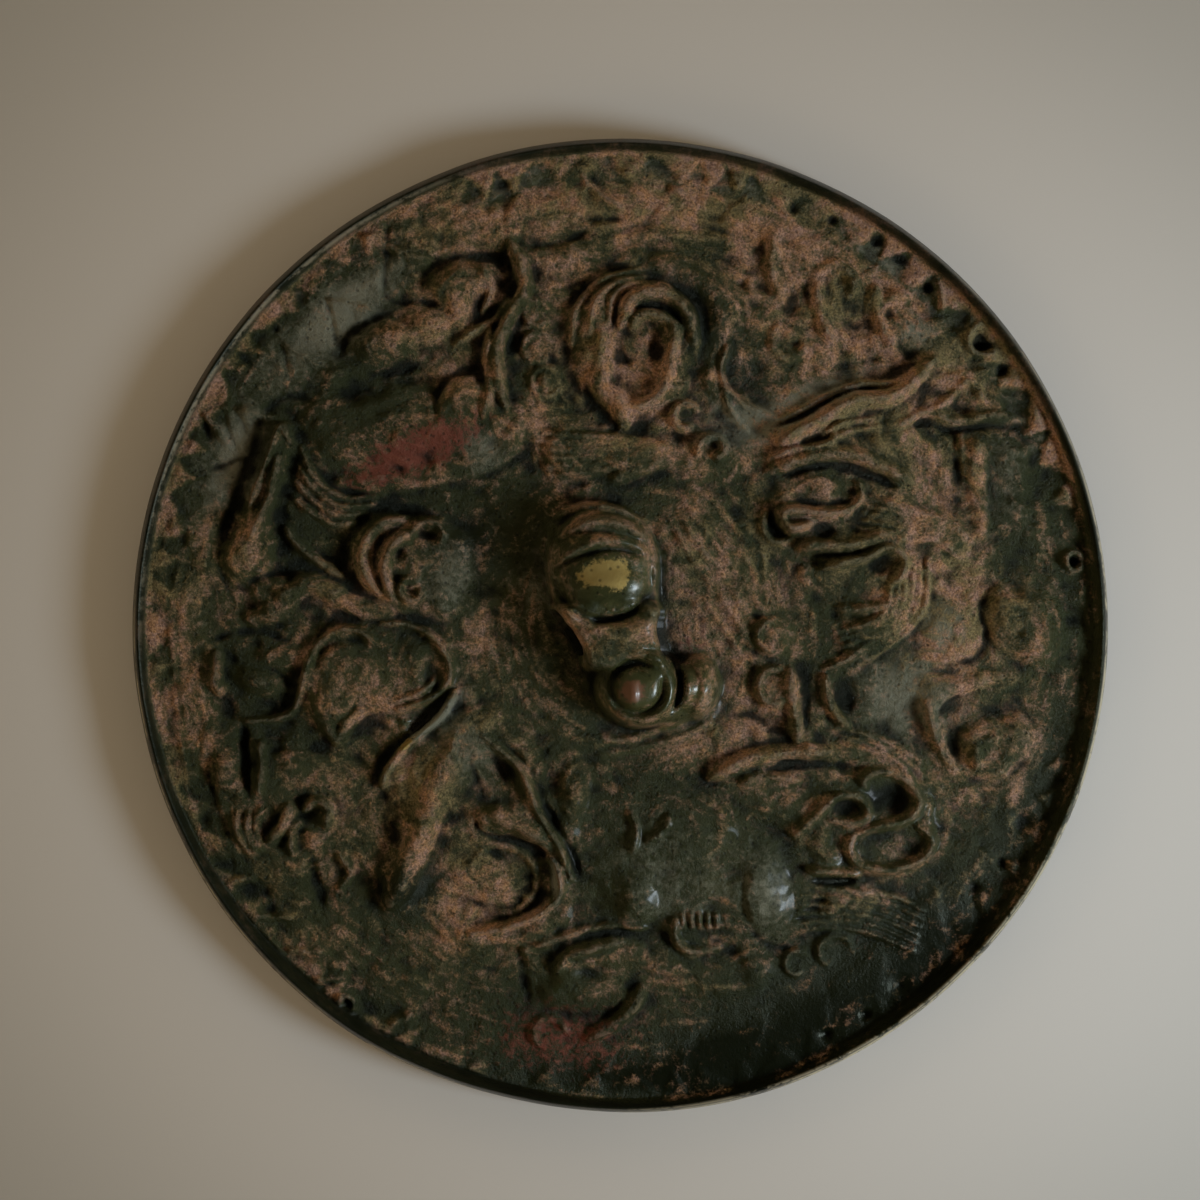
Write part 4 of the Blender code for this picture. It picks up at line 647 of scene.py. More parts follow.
def smoothStep(grid, low, high):
    share = np.clip((grid - low) / (high - low), 0, 1)
    return share * share * (3 - 2 * share)


def ringShare(angle, bearing, spread):
    off = (angle - bearing + 180) % 360 - 180
    return np.exp(-(off / spread) ** 2)


# how clearly the teeth still stand, bearing by bearing
def toothWear(angle):
    clear = np.full(angle.shape, teeth["faint"])
    for bearing, spread, strength in teeth["clear"]:
        clear += strength * ringShare(angle, bearing, spread)
    return np.clip(clear, 0, 1)


# the band with its two rows of teeth, over the field, in metres
def borderHeight(radius, angle, worn):
    start = mirror["radius"] - mirror["borderWidth"]
    height = mirror["borderRise"] * smoothStep(radius, start, start + mirror["borderSlope"])
    outer = mirror["radius"] - mirror["rimWidth"] - teeth["gap"]
    across = np.abs((angle * teeth["smallCount"] / 360) % 1 - 0.5) * 2
    reach = (outer - radius) / teeth["smallLength"]
    hanging = np.clip((1 - reach - across) * teeth["smallSteep"], 0, 1) * (reach > 0) + (reach <= 0)
    height = height + teeth["smallHeight"] * hanging * worn
    inner = outer - teeth["smallLength"] * teeth["rowLap"]
    across = (angle * teeth["largeCount"] / 360) % 1
    reach = np.clip((inner - radius) / teeth["largeLength"], 0, 1)
    inside = (np.abs(across - 0.5) * 2 < reach) & (inner - radius < teeth["largeLength"])
    facet = np.clip((across - 0.5) / (reach + 1e-6) + 0.5, 0, 1)
    fade = np.clip((1 - reach) * teeth["largeSteep"], 0, 1)
    inRow = smoothStep(radius, *[outer - teeth["smallLength"] * share for share in teeth["earthRow"]])
    height = height + teeth["largeHeight"] * inside * facet * fade * worn
    return height, (hanging - teeth["earthLevel"]) * inRow


def rimHeight(radius):
    crest = mirror["radius"] - mirror["rimCrest"]
    inner = np.clip((radius - mirror["radius"] + mirror["rimWidth"])
                    / (mirror["rimWidth"] - mirror["rimCrest"]), 0, 1)
    outer = np.clip((radius - crest) / mirror["rimCrest"], 0, 1)
    drop = mirror["field"] + mirror["borderRise"] + mirror["rimHeight"] - mirror["edgeHeight"]
    return mirror["rimHeight"] * np.sin(inner * math.pi / 2) - drop * outer ** mirror["wallCurve"]


def edgeShape(angle):
    depth, bearing, spread = mirror["wear"]
    return 1 - depth / mirror["radius"] * ringShare(angle, bearing, spread)


# where each part of the finish lies: u, v, half sizes, turn, strength
regions = {
    "earth": [(0, 88, 40, 9, 0, 0.42), (50, 62, 28, 20, -40, 0.34), (20, 12, 12, 20, -25, 0.16),
              (72, -6, 10, 22, 0, 0.3), (66, 1, 7, 8, 0, 0.8), (-92, -6, 8, 34, 0, 0.32),
              (-62, 74, 34, 5, 40, 0.25), (-62, -66, 20, 12, -40, 0.25), (-38, -34, 12, 20, 0, 0.3),
              (0, 56, 12, 12, 0, 0.3), (45, 45, 18, 6, 20, 0.35), (-38, 62, 12, 12, 0, 0.3),
              (-78, 18, 5, 10, 0, 0.3), (60, -30, 16, 6, -15, 0.25), (30, -22, 14, 7, 0, 0.28),
              (-50, -12, 8, 8, 0, 0.2), (6, -28, 10, 6, 0, 0.2), (70, -52, 10, 16, 30, 0.2),
              (85, 60, 10, 20, 40, 0.15), (12, -48, 20, 14, 0, -0.2), (42, -80, 28, 12, 30, -0.45),
              (94, -6, 6, 40, 0, -0.4), (80, -54, 18, 14, -40, -0.35), (50, -70, 30, 10, 25, -0.3),
              (-56, 48, 18, 14, 20, -0.3), (-54, -68, 12, 10, -40, -0.3), (-76, -14, 8, 26, 0, -0.25),
              (-16, -84, 24, 10, 0, -0.25), (44, -6, 8, 10, 0, -0.15), (6, -32, 12, 8, 0, -0.2),
              (54, -32, 14, 5, 0, -0.2), (8, 44, 16, 10, 0, 0.3), (30, 40, 12, 8, 30, 0.2),
              (56, 10, 10, 16, 0, 0.3), (-42, 80, 16, 5, 22, 0.2), (18, 86, 24, 7, -12, 0.2),
              (16, -10, 10, 14, 0, 0.2), (-30, -56, 10, 8, 0, 0.4), (-60, 70, 16, 7, 38, -0.25),
              (-66, 20, 6, 12, 0, -0.3), (18, 62, 7, 12, 20, -0.25), (27, 51, 7, 7, 0, -0.15),
              (80, 29, 5, 16, 0, -0.4), (-34, 25, 18, 4, 0, -0.4), (-66, -21, 10, 4, 0, -0.3),
              (-30, 54, 7, 6, 0, 0.25), (-18, 42, 6, 6, 0, 0.25), (66, 8, 12, 6, 0, 0.25),
              (-42, -30, 6, 6, 0, 0.35), (48, -54, 9, 6, 0, 0.3), (-30, 18, 7, 6, 0, -0.8),
              (24, 30, 9, 6, 0, -0.25), (-48, -6, 10, 6, 0, -0.25), (6, -30, 8, 5, 0, -0.2),
              (58, 42, 10, 6, 0, 0.15), (-42, -54, 7, 7, 0, -0.4), (66, -66, 8, 8, 0, -0.25),
              (-24, -78, 12, 6, 0, -0.25), (0, -2, 8, 3.5, 0, 0.45), (-9.6, 2.4, 4, 2, -30, 0.5),
              (50, 47, 7, 4, 20, 0.5), (36, 42, 8, 6, 0, 0.35), (60, -12, 10, 8, 0, 0.3),
              (-54, 10, 8, 8, 0, 0.3), (18, -48, 8, 8, 0, 0.3), (-18, -54, 6, 6, 0, 0.25),
              (-30, -18, 6, 6, 0, 0.3), (72, 6, 8, 5, 0, 0.2), (-60, -54, 10, 6, 0, -0.2),
              (73.6, 58.6, 4, 4, 0, 0.5), (74, 52, 8, 8, 0, 0.3), (81, 50.7, 2.6, 3, 0, 0.6),
              (84.3, 43.2, 2.6, 3, 0, 0.6), (88, 35.7, 2.4, 3, 0, 0.6), (91, 27.2, 2, 3, 0, 0.5),
              (72.8, 29, 1.6, 10, -3, 0.5), (42, 18, 6, 6, 0, 0.15), (66, 30, 5, 8, 0, 0.25)],
    # grey-green patina; several patches, such as (66, 1), (40, 47), (-38, -18.6) and (-13.4, -52), are
    # painted sheen and highlight streaks on slopes and crests facing the light
    "slate": [(-60, 65, 20, 9, 40, 1.0), (-80, 40, 7, 11, 20, 1.0), (-86, 28, 7, 9, 0, 0.5),
              (-88, 6, 8, 12, 0, 0.3), (10, -50, 16, 12, 0, 0.35), (62, -14, 14, 14, 0, 0.4),
              (66, 1, 7, 8, 0, 0.65), (-17, 10, 8, 16, 0, 0.3), (22, 42, 8, 6, 0, 0.65),
              (-32, -24, 8, 14, 20, 0.5), (30, -54, 6, 10, 0, 0.4), (40, 47, 13, 3.4, 22, 0.9),
              (78, 30, 5, 14, 0, 0.35), (34, 42, 8, 4, 20, 0.8), (50, 47, 6, 4, 20, 0.5),
              (56, -14, 8, 8, 0, 0.4), (-28, 36, 5, 6, 40, 0.6), (-35, 9, 6, 8, 0, 0.5),
              (-38, -18.6, 7, 1.1, 38, 1.3), (-13.4, -52, 0.9, 5, 5, 0.9), (61, 60, 5, 4, 0, 0.7)],
    "polish": [(-2, 9, 9, 7.5, 0, 1.3), (4.4, -12.4, 9, 8.6, 0, 1.2), (15.4, -11.6, 5.4, 7, 0, 0.8),
               (31, -54, 5, 9, 0, 0.45), (8, -50, 18, 12, 0, 0.5), (46, -50.5, 6, 3, 0, 0.8),
               (-12.6, -73, 5, 6, 0, 0.7), (-42, -21, 9, 4, 45, 0.8), (56, -40, 8, 10, 0, 0.4)],
    "black": [(42, -80, 34, 13, 24, 1.0), (84, -38, 9, 26, -30, 0.6), (16, 64, 7, 12, 20, 0.35),
              (24, 52, 6, 7, 0, 0.5), (0, -92, 30, 5, 0, 0.8), (-42, -54, 6, 6, 0, 0.9),
              (-30, 18, 6, 5, 0, 0.8), (66, -64, 14, 12, -40, 0.6), (28, -90, 16, 6, -15, 0.8)],
    "crimson": [(-42, 35.4, 16, 5, 24, 1.1), (-12, -84, 17, 8, 0, 0.7), (6, 57, 8, 8, 0, 0.25),
                (14, -4, 5, 4, 0, 0.5), (-60, 86, 20, 4, 36, 0.2), (-10, 88, 18, 5, 0, 0.3)],
    # gold-coloured wear on the knob, and one painted highlight streak at (-43.6, -23.8)
    "brassAndHighlight": [(-3.6, 10.9, 5.2, 2.5, 15, 1.4), (-0.4, 8.8, 2.2, 2.6, 20, 0.7),
              (-43.6, -23.8, 2.4, 0.8, 38, 1.0)],
    "copper": [(2.3, -12.6, 3.0, 2.6, 0, 1.2)],
}


# the skin of the casting: lumps and streaks, and how its colours follow the relief
skin = {
    "lumps": ((11, 2.4, 0.20), (12, 0.95, 0.13), (13, 0.5, 0.06)),    # seed, size, rise
    "streakSize": 0.3, "streakSteps": 9, "streakStride": 0.4,
    "streakBlur": 1.5, "swirl": 0.08, "swirlCore": 5,     # on level ground streaks run round the knob
    "streakMiddle": 0.5, "streakGain": 0.28,
    "grainSize": 0.5, "grainRise": 0.10, "grainEarth": 0.6,
    "calmPolish": 0.75, "calmSlate": 0.5, "calmBlack": 0.95,      # smooth stretches
    "rimFade": 2.0,
    "earthBase": 0.25, "slateOverEarth": 0.5,
    "bareRim": (325, 42), "bareRimFrom": (92, 95), "bareRimShare": 0.8,
    "slateEnds": (86, 93), "greyTeeth": (90, 70), "greyTeethShare": 1.1,
    "crestSize": 0.8, "crestGain": 3.0, "polishedCrest": 0.7,
    # painted shade: blur sizes, gains and level of the darkening put in recesses, valleys and round tall
    # forms
    "hollowSize": 2.2, "hollowGain": 0.9, "basinSize": 5.0, "basinGain": 0.3, "hollowLevel": 0.08,
    "cap": 2.4, "knobCap": 1.0,       # painted shade: taller forms cast no more of it than this
}


# fine streaks that follow the forms
def streaks(height, seed, size):
    slopeV, slopeU = np.gradient(blurred(height, skin["streakBlur"]), sheetStep)
    level = skin["swirl"] / (np.hypot(sheetU, sheetV) + skin["swirlCore"])
    flowU, flowV = -slopeV + level * sheetV, slopeU - level * sheetU
    length = np.hypot(flowU, flowV) + 1e-9
    flowU, flowV = flowU / length, flowV / length
    flowTurned = flowU * sheetV - flowV * sheetU < 0
    flowU, flowV = np.where(flowTurned, -flowU, flowU), np.where(flowTurned, -flowV, flowV)
    grain = softNoise(seed, size)
    total = grain.copy()
    last = sheet["points"] - 1
    for way in (skin["streakStride"], -skin["streakStride"]):
        u, v = sheetU.copy(), sheetV.copy()
        for i in range(skin["streakSteps"]):
            column = np.clip(((u + sheet["reach"]) / sheetStep).astype(int), 0, last)
            row = np.clip(((v + sheet["reach"]) / sheetStep).astype(int), 0, last)
            total += grain[row, column]
            u += way * flowU[row, column]
            v += way * flowV[row, column]
    return total / total.std()


# the figures and the knob together, and where the knob stands
def carveRelief():
    form, knob = Carving(), Carving()
    for carve in figures:
        carve(form)
    carveKnob(knob)
    relief = (stroke["massRise"] * blurred(form.mass, softening["mass"])
              + stroke["lineRise"] * blurred(form.line, softening["line"])
              - blurred(form.cut, softening["cut"]))
    knobRelief = (blurred(knob.mass, softening["knobMass"]) + blurred(knob.line, softening["knobLine"])
                  - blurred(knob.cut, softening["knobCut"]))
    onKnob = blurred((knob.mass > 0.05) * 1.0, softening["knobEdge"])
    return relief * (1 - onKnob) + knobRelief, onKnob


def carveSheet():
    relief, onKnob = carveRelief()
    radius = np.hypot(sheetU, sheetV)
    angle = np.degrees(np.arctan2(sheetV, sheetU)) % 360
    worn = toothWear(angle) * np.clip(1 + teeth["uneven"] * softNoise(5, teeth["unevenSize"]), 0.2, 1.5)
    worn = worn * (1 - teeth["goneShare"] * ringShare(angle, *teeth["gone"]))
    angle = angle + teeth["sway"] * softNoise(6, teeth["swaySize"])
    band, hanging = borderHeight(radius * mirror["radius"] / 100, angle, worn)
    band = band / mirror["step"]
    hanging = blurred(hanging * worn, softening["earthRow"])

    masks = {name: patches(places) for name, places in regions.items() if name != "earth"}
    slate = masks["slate"] * (1 - smoothStep(radius, *skin["slateEnds"]))
    earth = patches(regions["earth"], skin["earthBase"]) + hanging - skin["slateOverEarth"] * slate
    bareRim = ringShare(angle, *skin["bareRim"]) * smoothStep(radius, *skin["bareRimFrom"])
    earth = earth - skin["bareRimShare"] * bareRim
    slate = np.clip(slate - skin["greyTeethShare"] * hanging * ringShare(angle, *skin["greyTeeth"]), 0, 1)

    rough = sum(rise * softNoise(seed, size) for seed, size, rise in skin["lumps"])
    streak = streaks(relief, 21, skin["streakSize"])
    grain = skin["grainRise"] * streaks(relief, 22, skin["grainSize"]) * (skin["grainEarth"] * (1 + earth))
    calm = 1 - np.maximum(np.maximum(skin["calmPolish"] * masks["polish"], skin["calmSlate"] * slate),
                          skin["calmBlack"] * masks["black"])
    fade = np.clip((100 - mirror["rimWidth"] * 100 / mirror["radius"] - radius) / skin["rimFade"], 0, 1)
    height = (relief + (rough + grain) * calm) * fade + blurred(band, softening["band"])
    height = np.maximum(height, (mirror["thinnest"] - mirror["field"]) / mirror["step"])

    # crests: real wear on the high edges, lightened along them as a painted highlight
    crest = skin["crestGain"] * (height - blurred(height, skin["crestSize"]))
    # painted shade: recesses, valleys and the ground round tall forms are darkened with the near-black
    # colour
    capped = np.minimum(height, skin["cap"] - (skin["cap"] - skin["knobCap"]) * onKnob)
    around = (blurred(height, skin["hollowSize"]) * onKnob
              + blurred(capped, skin["hollowSize"]) * (1 - onKnob))
    basin = capped - blurred(capped, skin["basinSize"])
    hollow = (around - height) * skin["hollowGain"] - basin * skin["basinGain"] - skin["hollowLevel"]
    masks.update(slate=slate, earth=np.clip(earth, 0, 1), hollow=np.clip(hollow, 0, 1),
                 crest=np.clip(crest, 0, 1) * (1 - skin["polishedCrest"] * masks["polish"]),
                 streak=np.clip(skin["streakMiddle"] + skin["streakGain"] * streak, 0, 1))
    return height, masks


def sampled(grid, u, v):
    column = np.clip((u + sheet["reach"]) / sheetStep, 0, sheet["points"] - 1.001)
    row = np.clip((v + sheet["reach"]) / sheetStep, 0, sheet["points"] - 1.001)
    left, low = column.astype(int), row.astype(int)
    right, up = column - left, row - low
    return ((grid[low, left] * (1 - right) + grid[low, left + 1] * right) * (1 - up)
            + (grid[low + 1, left] * (1 - right) + grid[low + 1, left + 1] * right) * up)


# a square grid drawn out to a disc, so that its lines follow the edge
def gridToDisc(a, b):
    wide = np.abs(a) > np.abs(b)
    along = np.where(wide, a, b)
    turn = np.where(wide, b / np.where(wide, a, 1), a / np.where(wide | (b == 0), 1, b))
    angle = np.where(wide, turn * math.pi / 4, math.pi / 2 - turn * math.pi / 4)
    share = np.abs(along)
    band = mirror["rimBand"] / mirror["radius"]
    share = np.where(share < 1 - mirror["rimRings"], share * (1 - band) / (1 - mirror["rimRings"]),
                     1 - (1 - share) * band / mirror["rimRings"])
    reach = np.sign(along) * share
    return reach * np.cos(angle), reach * np.sin(angle)


def castingMesh(height):
    cells = mirror["gridCells"]
    line = np.linspace(-1, 1, cells + 1)
    b, a = np.meshgrid(line, line, indexing="ij")
    x, y = gridToDisc(a.ravel(), b.ravel())
    radius = np.hypot(x, y) * mirror["radius"]
    angle = np.degrees(np.arctan2(y, x)) % 360
    z = mirror["field"] + sampled(height, x * 100, y * 100) * mirror["step"] + rimHeight(radius)
    shape = edgeShape(angle) * mirror["radius"]
    x, y = x * shape, y * shape
    index = np.arange((cells + 1) ** 2).reshape(cells + 1, cells + 1)
    quads = np.stack([index[:-1, :-1], index[:-1, 1:], index[1:, 1:], index[1:, :-1]], -1).reshape(-1, 4)
    loop = np.concatenate([index[0, :-1], index[:-1, -1], index[-1, :0:-1], index[:0:-1, 0]])
    places = [np.column_stack([x, y, z])]
    faces = quads.tolist()
    count = len(x)
    above = loop
    for level, inset in ((mirror["faceChamfer"], 0), (0, mirror["faceChamfer"])):
        reach = np.hypot(x[loop], y[loop])
        pull = 1 - inset / reach
        places.append(np.column_stack([x[loop] * pull, y[loop] * pull, np.full(len(loop), level)]))
        below = np.arange(count, count + len(loop))
        count += len(loop)
        faces += np.stack([above, below, np.roll(below, -1), np.roll(above, -1)], -1).tolist()
        above = below
    faces.append(above[::-1].tolist())
    mesh = bpy.data.meshes.new("mirror casting")
    mesh.from_pydata(np.concatenate(places).tolist(), [], faces)
    mesh.update()
    return mesh


def holeCutter():
    outline = [(-hole["width"] / 2, 0), (hole["width"] / 2, 0)]
    for i in range(hole["archPieces"] + 1):
        angle = math.pi * i / hole["archPieces"]
        outline.append((hole["width"] / 2 * math.cos(angle), hole["wall"] + hole["arch"] * math.sin(angle)))
    shape = bmesh.new()
    ring = [shape.verts.new((-hole["reach"], hole["offset"] + y, mirror["field"] + hole["sill"] + z))
            for y, z in outline]
    pushed = bmesh.ops.extrude_face_region(shape, geom=[shape.faces.new(ring)])["geom"]
    bmesh.ops.translate(shape, verts=[g for g in pushed if isinstance(g, bmesh.types.BMVert)],
                        vec=(2 * hole["reach"], 0, 0))
    bmesh.ops.recalc_face_normals(shape, faces=shape.faces)
    mesh = bpy.data.meshes.new("cord hole")
    shape.to_mesh(mesh)
    shape.free()
    cutter = bpy.data.objects.new("cord hole", mesh)
    bpy.context.scene.collection.objects.link(cutter)
    return cutter


# the dark rim: share of the bead it covers, and where it is narrower or broader
darkRim = {
    "share": 1.05, "soft": 0.8,
    "narrow": (325, 42), "narrowBy": 0.5, "broad": (235, 25), "broadBy": 0.3,
}


# each point of the casting carries the masks that its finish is mixed from
def paintMasks(mesh, height, masks):
    places = np.empty(len(mesh.vertices) * 3)
    mesh.vertices.foreach_get("co", places)
    places = places.reshape(-1, 3)
    angle = np.degrees(np.arctan2(places[:, 1], places[:, 0])) % 360
    shape = edgeShape(angle) * mirror["radius"] / 100
    u, v = places[:, 0] / shape, places[:, 1] / shape
    radius = np.hypot(u, v)
    surface = mirror["field"] + sampled(height, u, v) * mirror["step"]
    # painted shade: the inside of the hole is painted fully dark, with no crest lightening or gold-coloured
    # wear
    inHole = (surface - places[:, 2] > hole["paintedShadeDepth"]) & (radius < hole["paintedShadeReach"])
    values = {name: sampled(grid, u, v) for name, grid in masks.items()}
    values["hollow"] = np.where(inHole, 1.0, values["hollow"])
    for name in ("brassAndHighlight", "crest"):
        values[name] = np.where(inHole, 0.0, values[name])
    share = (darkRim["share"] - darkRim["narrowBy"] * ringShare(angle, *darkRim["narrow"])
             + darkRim["broadBy"] * ringShare(angle, *darkRim["broad"]))
    inner = 100 - mirror["rimWidth"] * 100 / mirror["radius"] * share
    values["rim"] = smoothStep(radius, inner, inner + darkRim["soft"])
    for name in values:
        layer = mesh.attributes.new(name, "FLOAT", "POINT")
        layer.data.foreach_set("value", values[name].astype(np.float32))


def castMirror(height):
    mesh = castingMesh(height)
    casting = bpy.data.objects.new("mirror_casting", mesh)
    bpy.context.scene.collection.objects.link(casting)
    bpy.context.view_layer.objects.active = casting
    casting.select_set(True)
    thin = casting.modifiers.new("fewer faces on the smooth ground", "DECIMATE")
    thin.ratio = min(1, mirror["triangles"] / (2 * len(mesh.polygons)))
    bpy.ops.object.modifier_apply(modifier=thin.name)
    cutter = holeCutter()
    pierce = casting.modifiers.new("cord hole", "BOOLEAN")
    pierce.object = cutter
    pierce.operation = "DIFFERENCE"
    pierce.solver = "EXACT"
    bpy.ops.object.modifier_apply(modifier=pierce.name)
    bpy.data.objects.remove(cutter)
    casting.data.shade_smooth()
    return casting


height, masks = carveSheet()
print("relief carved:", round(float(height.max()), 2), "units over the field")
casting = castMirror(height)
paintMasks(casting.data, height, masks)
print("casting meshed and pierced:", len(casting.data.polygons), "faces")


# small helpers for building the finishes
def feed(tree, socket, value):
    if isinstance(value, bpy.types.NodeSocket):
        tree.links.new(value, socket)
    elif socket.type == "RGBA":
        socket.default_value = (*value, 1)
    else:
        socket.default_value = value


def noise(tree, place, scale, detail, roughness, distortion):
    node = tree.nodes.new("ShaderNodeTexNoise")
    feed(tree, node.inputs["Vector"], place)
    for name, value in (("Scale", scale), ("Detail", detail), ("Roughness", roughness),
                        ("Distortion", distortion)):
        node.inputs[name].default_value = value
    return node.outputs["Fac"]


def maths(tree, operation, *values):
    node = tree.nodes.new("ShaderNodeMath")
    node.operation = operation
    for socket, value in zip(node.inputs, values):
        feed(tree, socket, value)
    return node.outputs[0]


def times(tree, value, share):
    return maths(tree, "MULTIPLY", value, share)


def rampUp(tree, value, low, high, least=0.0, most=1.0):
    node = tree.nodes.new("ShaderNodeMapRange")
    node.interpolation_type = "SMOOTHSTEP"
    for name, setting in (("Value", value), ("From Min", low), ("From Max", high),
                          ("To Min", least), ("To Max", most)):
        feed(tree, node.inputs[name], setting)
    return node.outputs["Result"]


def mixed(tree, share, under, over):
    node = tree.nodes.new("ShaderNodeMix")
    colour = isinstance(under, tuple) or getattr(under, "type", "") == "RGBA"
    node.data_type = "RGBA" if colour else "FLOAT"
    sockets = [socket for socket in node.inputs if socket.enabled]
    for socket, value in zip(sockets, (share, under, over)):
        feed(tree, socket, value)
    return [socket for socket in node.outputs if socket.enabled][0]


def newGroup(name, takes, gives):
    tree = bpy.data.node_groups.new(name, "ShaderNodeTree")
    for socketName, kind, value in takes:
        tree.interface.new_socket(socketName, in_out="INPUT", socket_type=kind).default_value = value
    for socketName, kind in gives:
        tree.interface.new_socket(socketName, in_out="OUTPUT", socket_type=kind)
    return tree, tree.nodes.new("NodeGroupInput").outputs, tree.nodes.new("NodeGroupOutput").inputs


def useGroup(tree, group, **values):
    node = tree.nodes.new("ShaderNodeGroup")
    node.node_tree = group
    for name, value in values.items():
        feed(tree, node.inputs[name], value)
    return node.outputs


# cast and corroded grain: scale, detail, roughness, distortion, and the values it runs between
grainNoise = {
    "Grain": (900, 6, 0.72, 0.25, 0.30, 0.70),
    "Fine": (2800, 3, 0.65, 0.20, 0.30, 0.70),
    "Patches": (130, 7, 0.70, 0.50, 0.32, 0.68),
    "Tint": (650, 5, 0.75, 0.30, 0.36, 0.64),
}
pits = {"scale": 800, "middle": 0.10, "edge": 0.28}


def vectorStep(tree, operation, vector, other=None):
    node = tree.nodes.new("ShaderNodeVectorMath")
    node.operation = operation
    feed(tree, node.inputs[0], vector)
    if other is not None:
        feed(tree, node.inputs["Scale" if operation == "SCALE" else 1], other)
    return node.outputs["Value" if operation in ("LENGTH", "DOT_PRODUCT") else 0]


def objectPlace(tree):
    return tree.nodes.new("ShaderNodeTexCoord").outputs["Object"]


# shared by both faces of the casting
def makeGrainGroup():
    names = [*grainNoise, "Pits"]
    tree, takes, gives = newGroup("bronze grain", [("Scale", "NodeSocketFloat", 1.0)],
                                  [(name, "NodeSocketFloat") for name in names])
    spot = vectorStep(tree, "SCALE", objectPlace(tree), takes["Scale"])
    for name, (scale, detail, roughness, distortion, low, high) in grainNoise.items():
        value = noise(tree, spot, scale, detail, roughness, distortion)
        feed(tree, gives[name], rampUp(tree, value, low, high))
    pit = tree.nodes.new("ShaderNodeTexVoronoi")
    feed(tree, pit.inputs["Vector"], spot)
    pit.inputs["Scale"].default_value = pits["scale"]
    feed(tree, gives["Pits"], rampUp(tree, pit.outputs["Distance"], pits["edge"], pits["middle"]))
    return tree


bakedEarth = {
    "orange": (0.50, 0.273, 0.137), "pink": (0.46, 0.280, 0.215), "ochre": (0.21, 0.185, 0.075),
    "mottle": {"Patches": 0.24, "Fine": 0.16, "Grain": 0.42, "Streak": 0.56}, "middle": 0.70,
    "holds": (0.08, 0.84),                # from the first specks to full cover
    "ochrePatches": (0.70, 0.15), "mostOchre": 0.85,
    "shade": (0.62, 1.2),
}


# earth baked on to the metal: where it holds and what colour it takes
def makeEarthGroup():
    names = ("Amount", "Grain", "Fine", "Streak", "Patches", "Tint")
    tree, takes, gives = newGroup("baked earth", [(name, "NodeSocketFloat", 0.5) for name in names],
                                  [("Cover", "NodeSocketFloat"), ("Color", "NodeSocketColor")])
    mottle = 0.0
    for name, share in bakedEarth["mottle"].items():
        mottle = maths(tree, "MULTIPLY_ADD", takes[name], share, mottle)
    level = maths(tree, "ADD", takes["Amount"], maths(tree, "SUBTRACT", mottle, bakedEarth["middle"]))
    feed(tree, gives["Cover"], rampUp(tree, level, *bakedEarth["holds"]))
    tone = mixed(tree, takes["Tint"], bakedEarth["orange"], bakedEarth["pink"])
    ochre = rampUp(tree, takes["Patches"], *bakedEarth["ochrePatches"], 0.0, bakedEarth["mostOchre"])
    shade = rampUp(tree, takes["Fine"], 0.0, 1.0, *bakedEarth["shade"])
    tone = mixed(tree, ochre, tone, bakedEarth["ochre"])
    feed(tree, gives["Color"], vectorStep(tree, "SCALE", tone, shade))
    return tree


grainGroup = makeGrainGroup()
earthGroup = makeEarthGroup()


def pointMask(tree, name):
    node = tree.nodes.new("ShaderNodeAttribute")
    node.attribute_name = name
    return node.outputs["Fac"]


def principled(name):
    material = bpy.data.materials.new(name)
    material.use_nodes = True
    tree = material.node_tree
    return material, tree, tree.nodes["Principled BSDF"]


def bumped(tree, shader, height, strength, distance):
    bump = tree.nodes.new("ShaderNodeBump")
    bump.inputs["Strength"].default_value = strength
    bump.inputs["Distance"].default_value = distance
    feed(tree, bump.inputs["Height"], height)
    feed(tree, shader.inputs["Normal"], bump.outputs["Normal"])


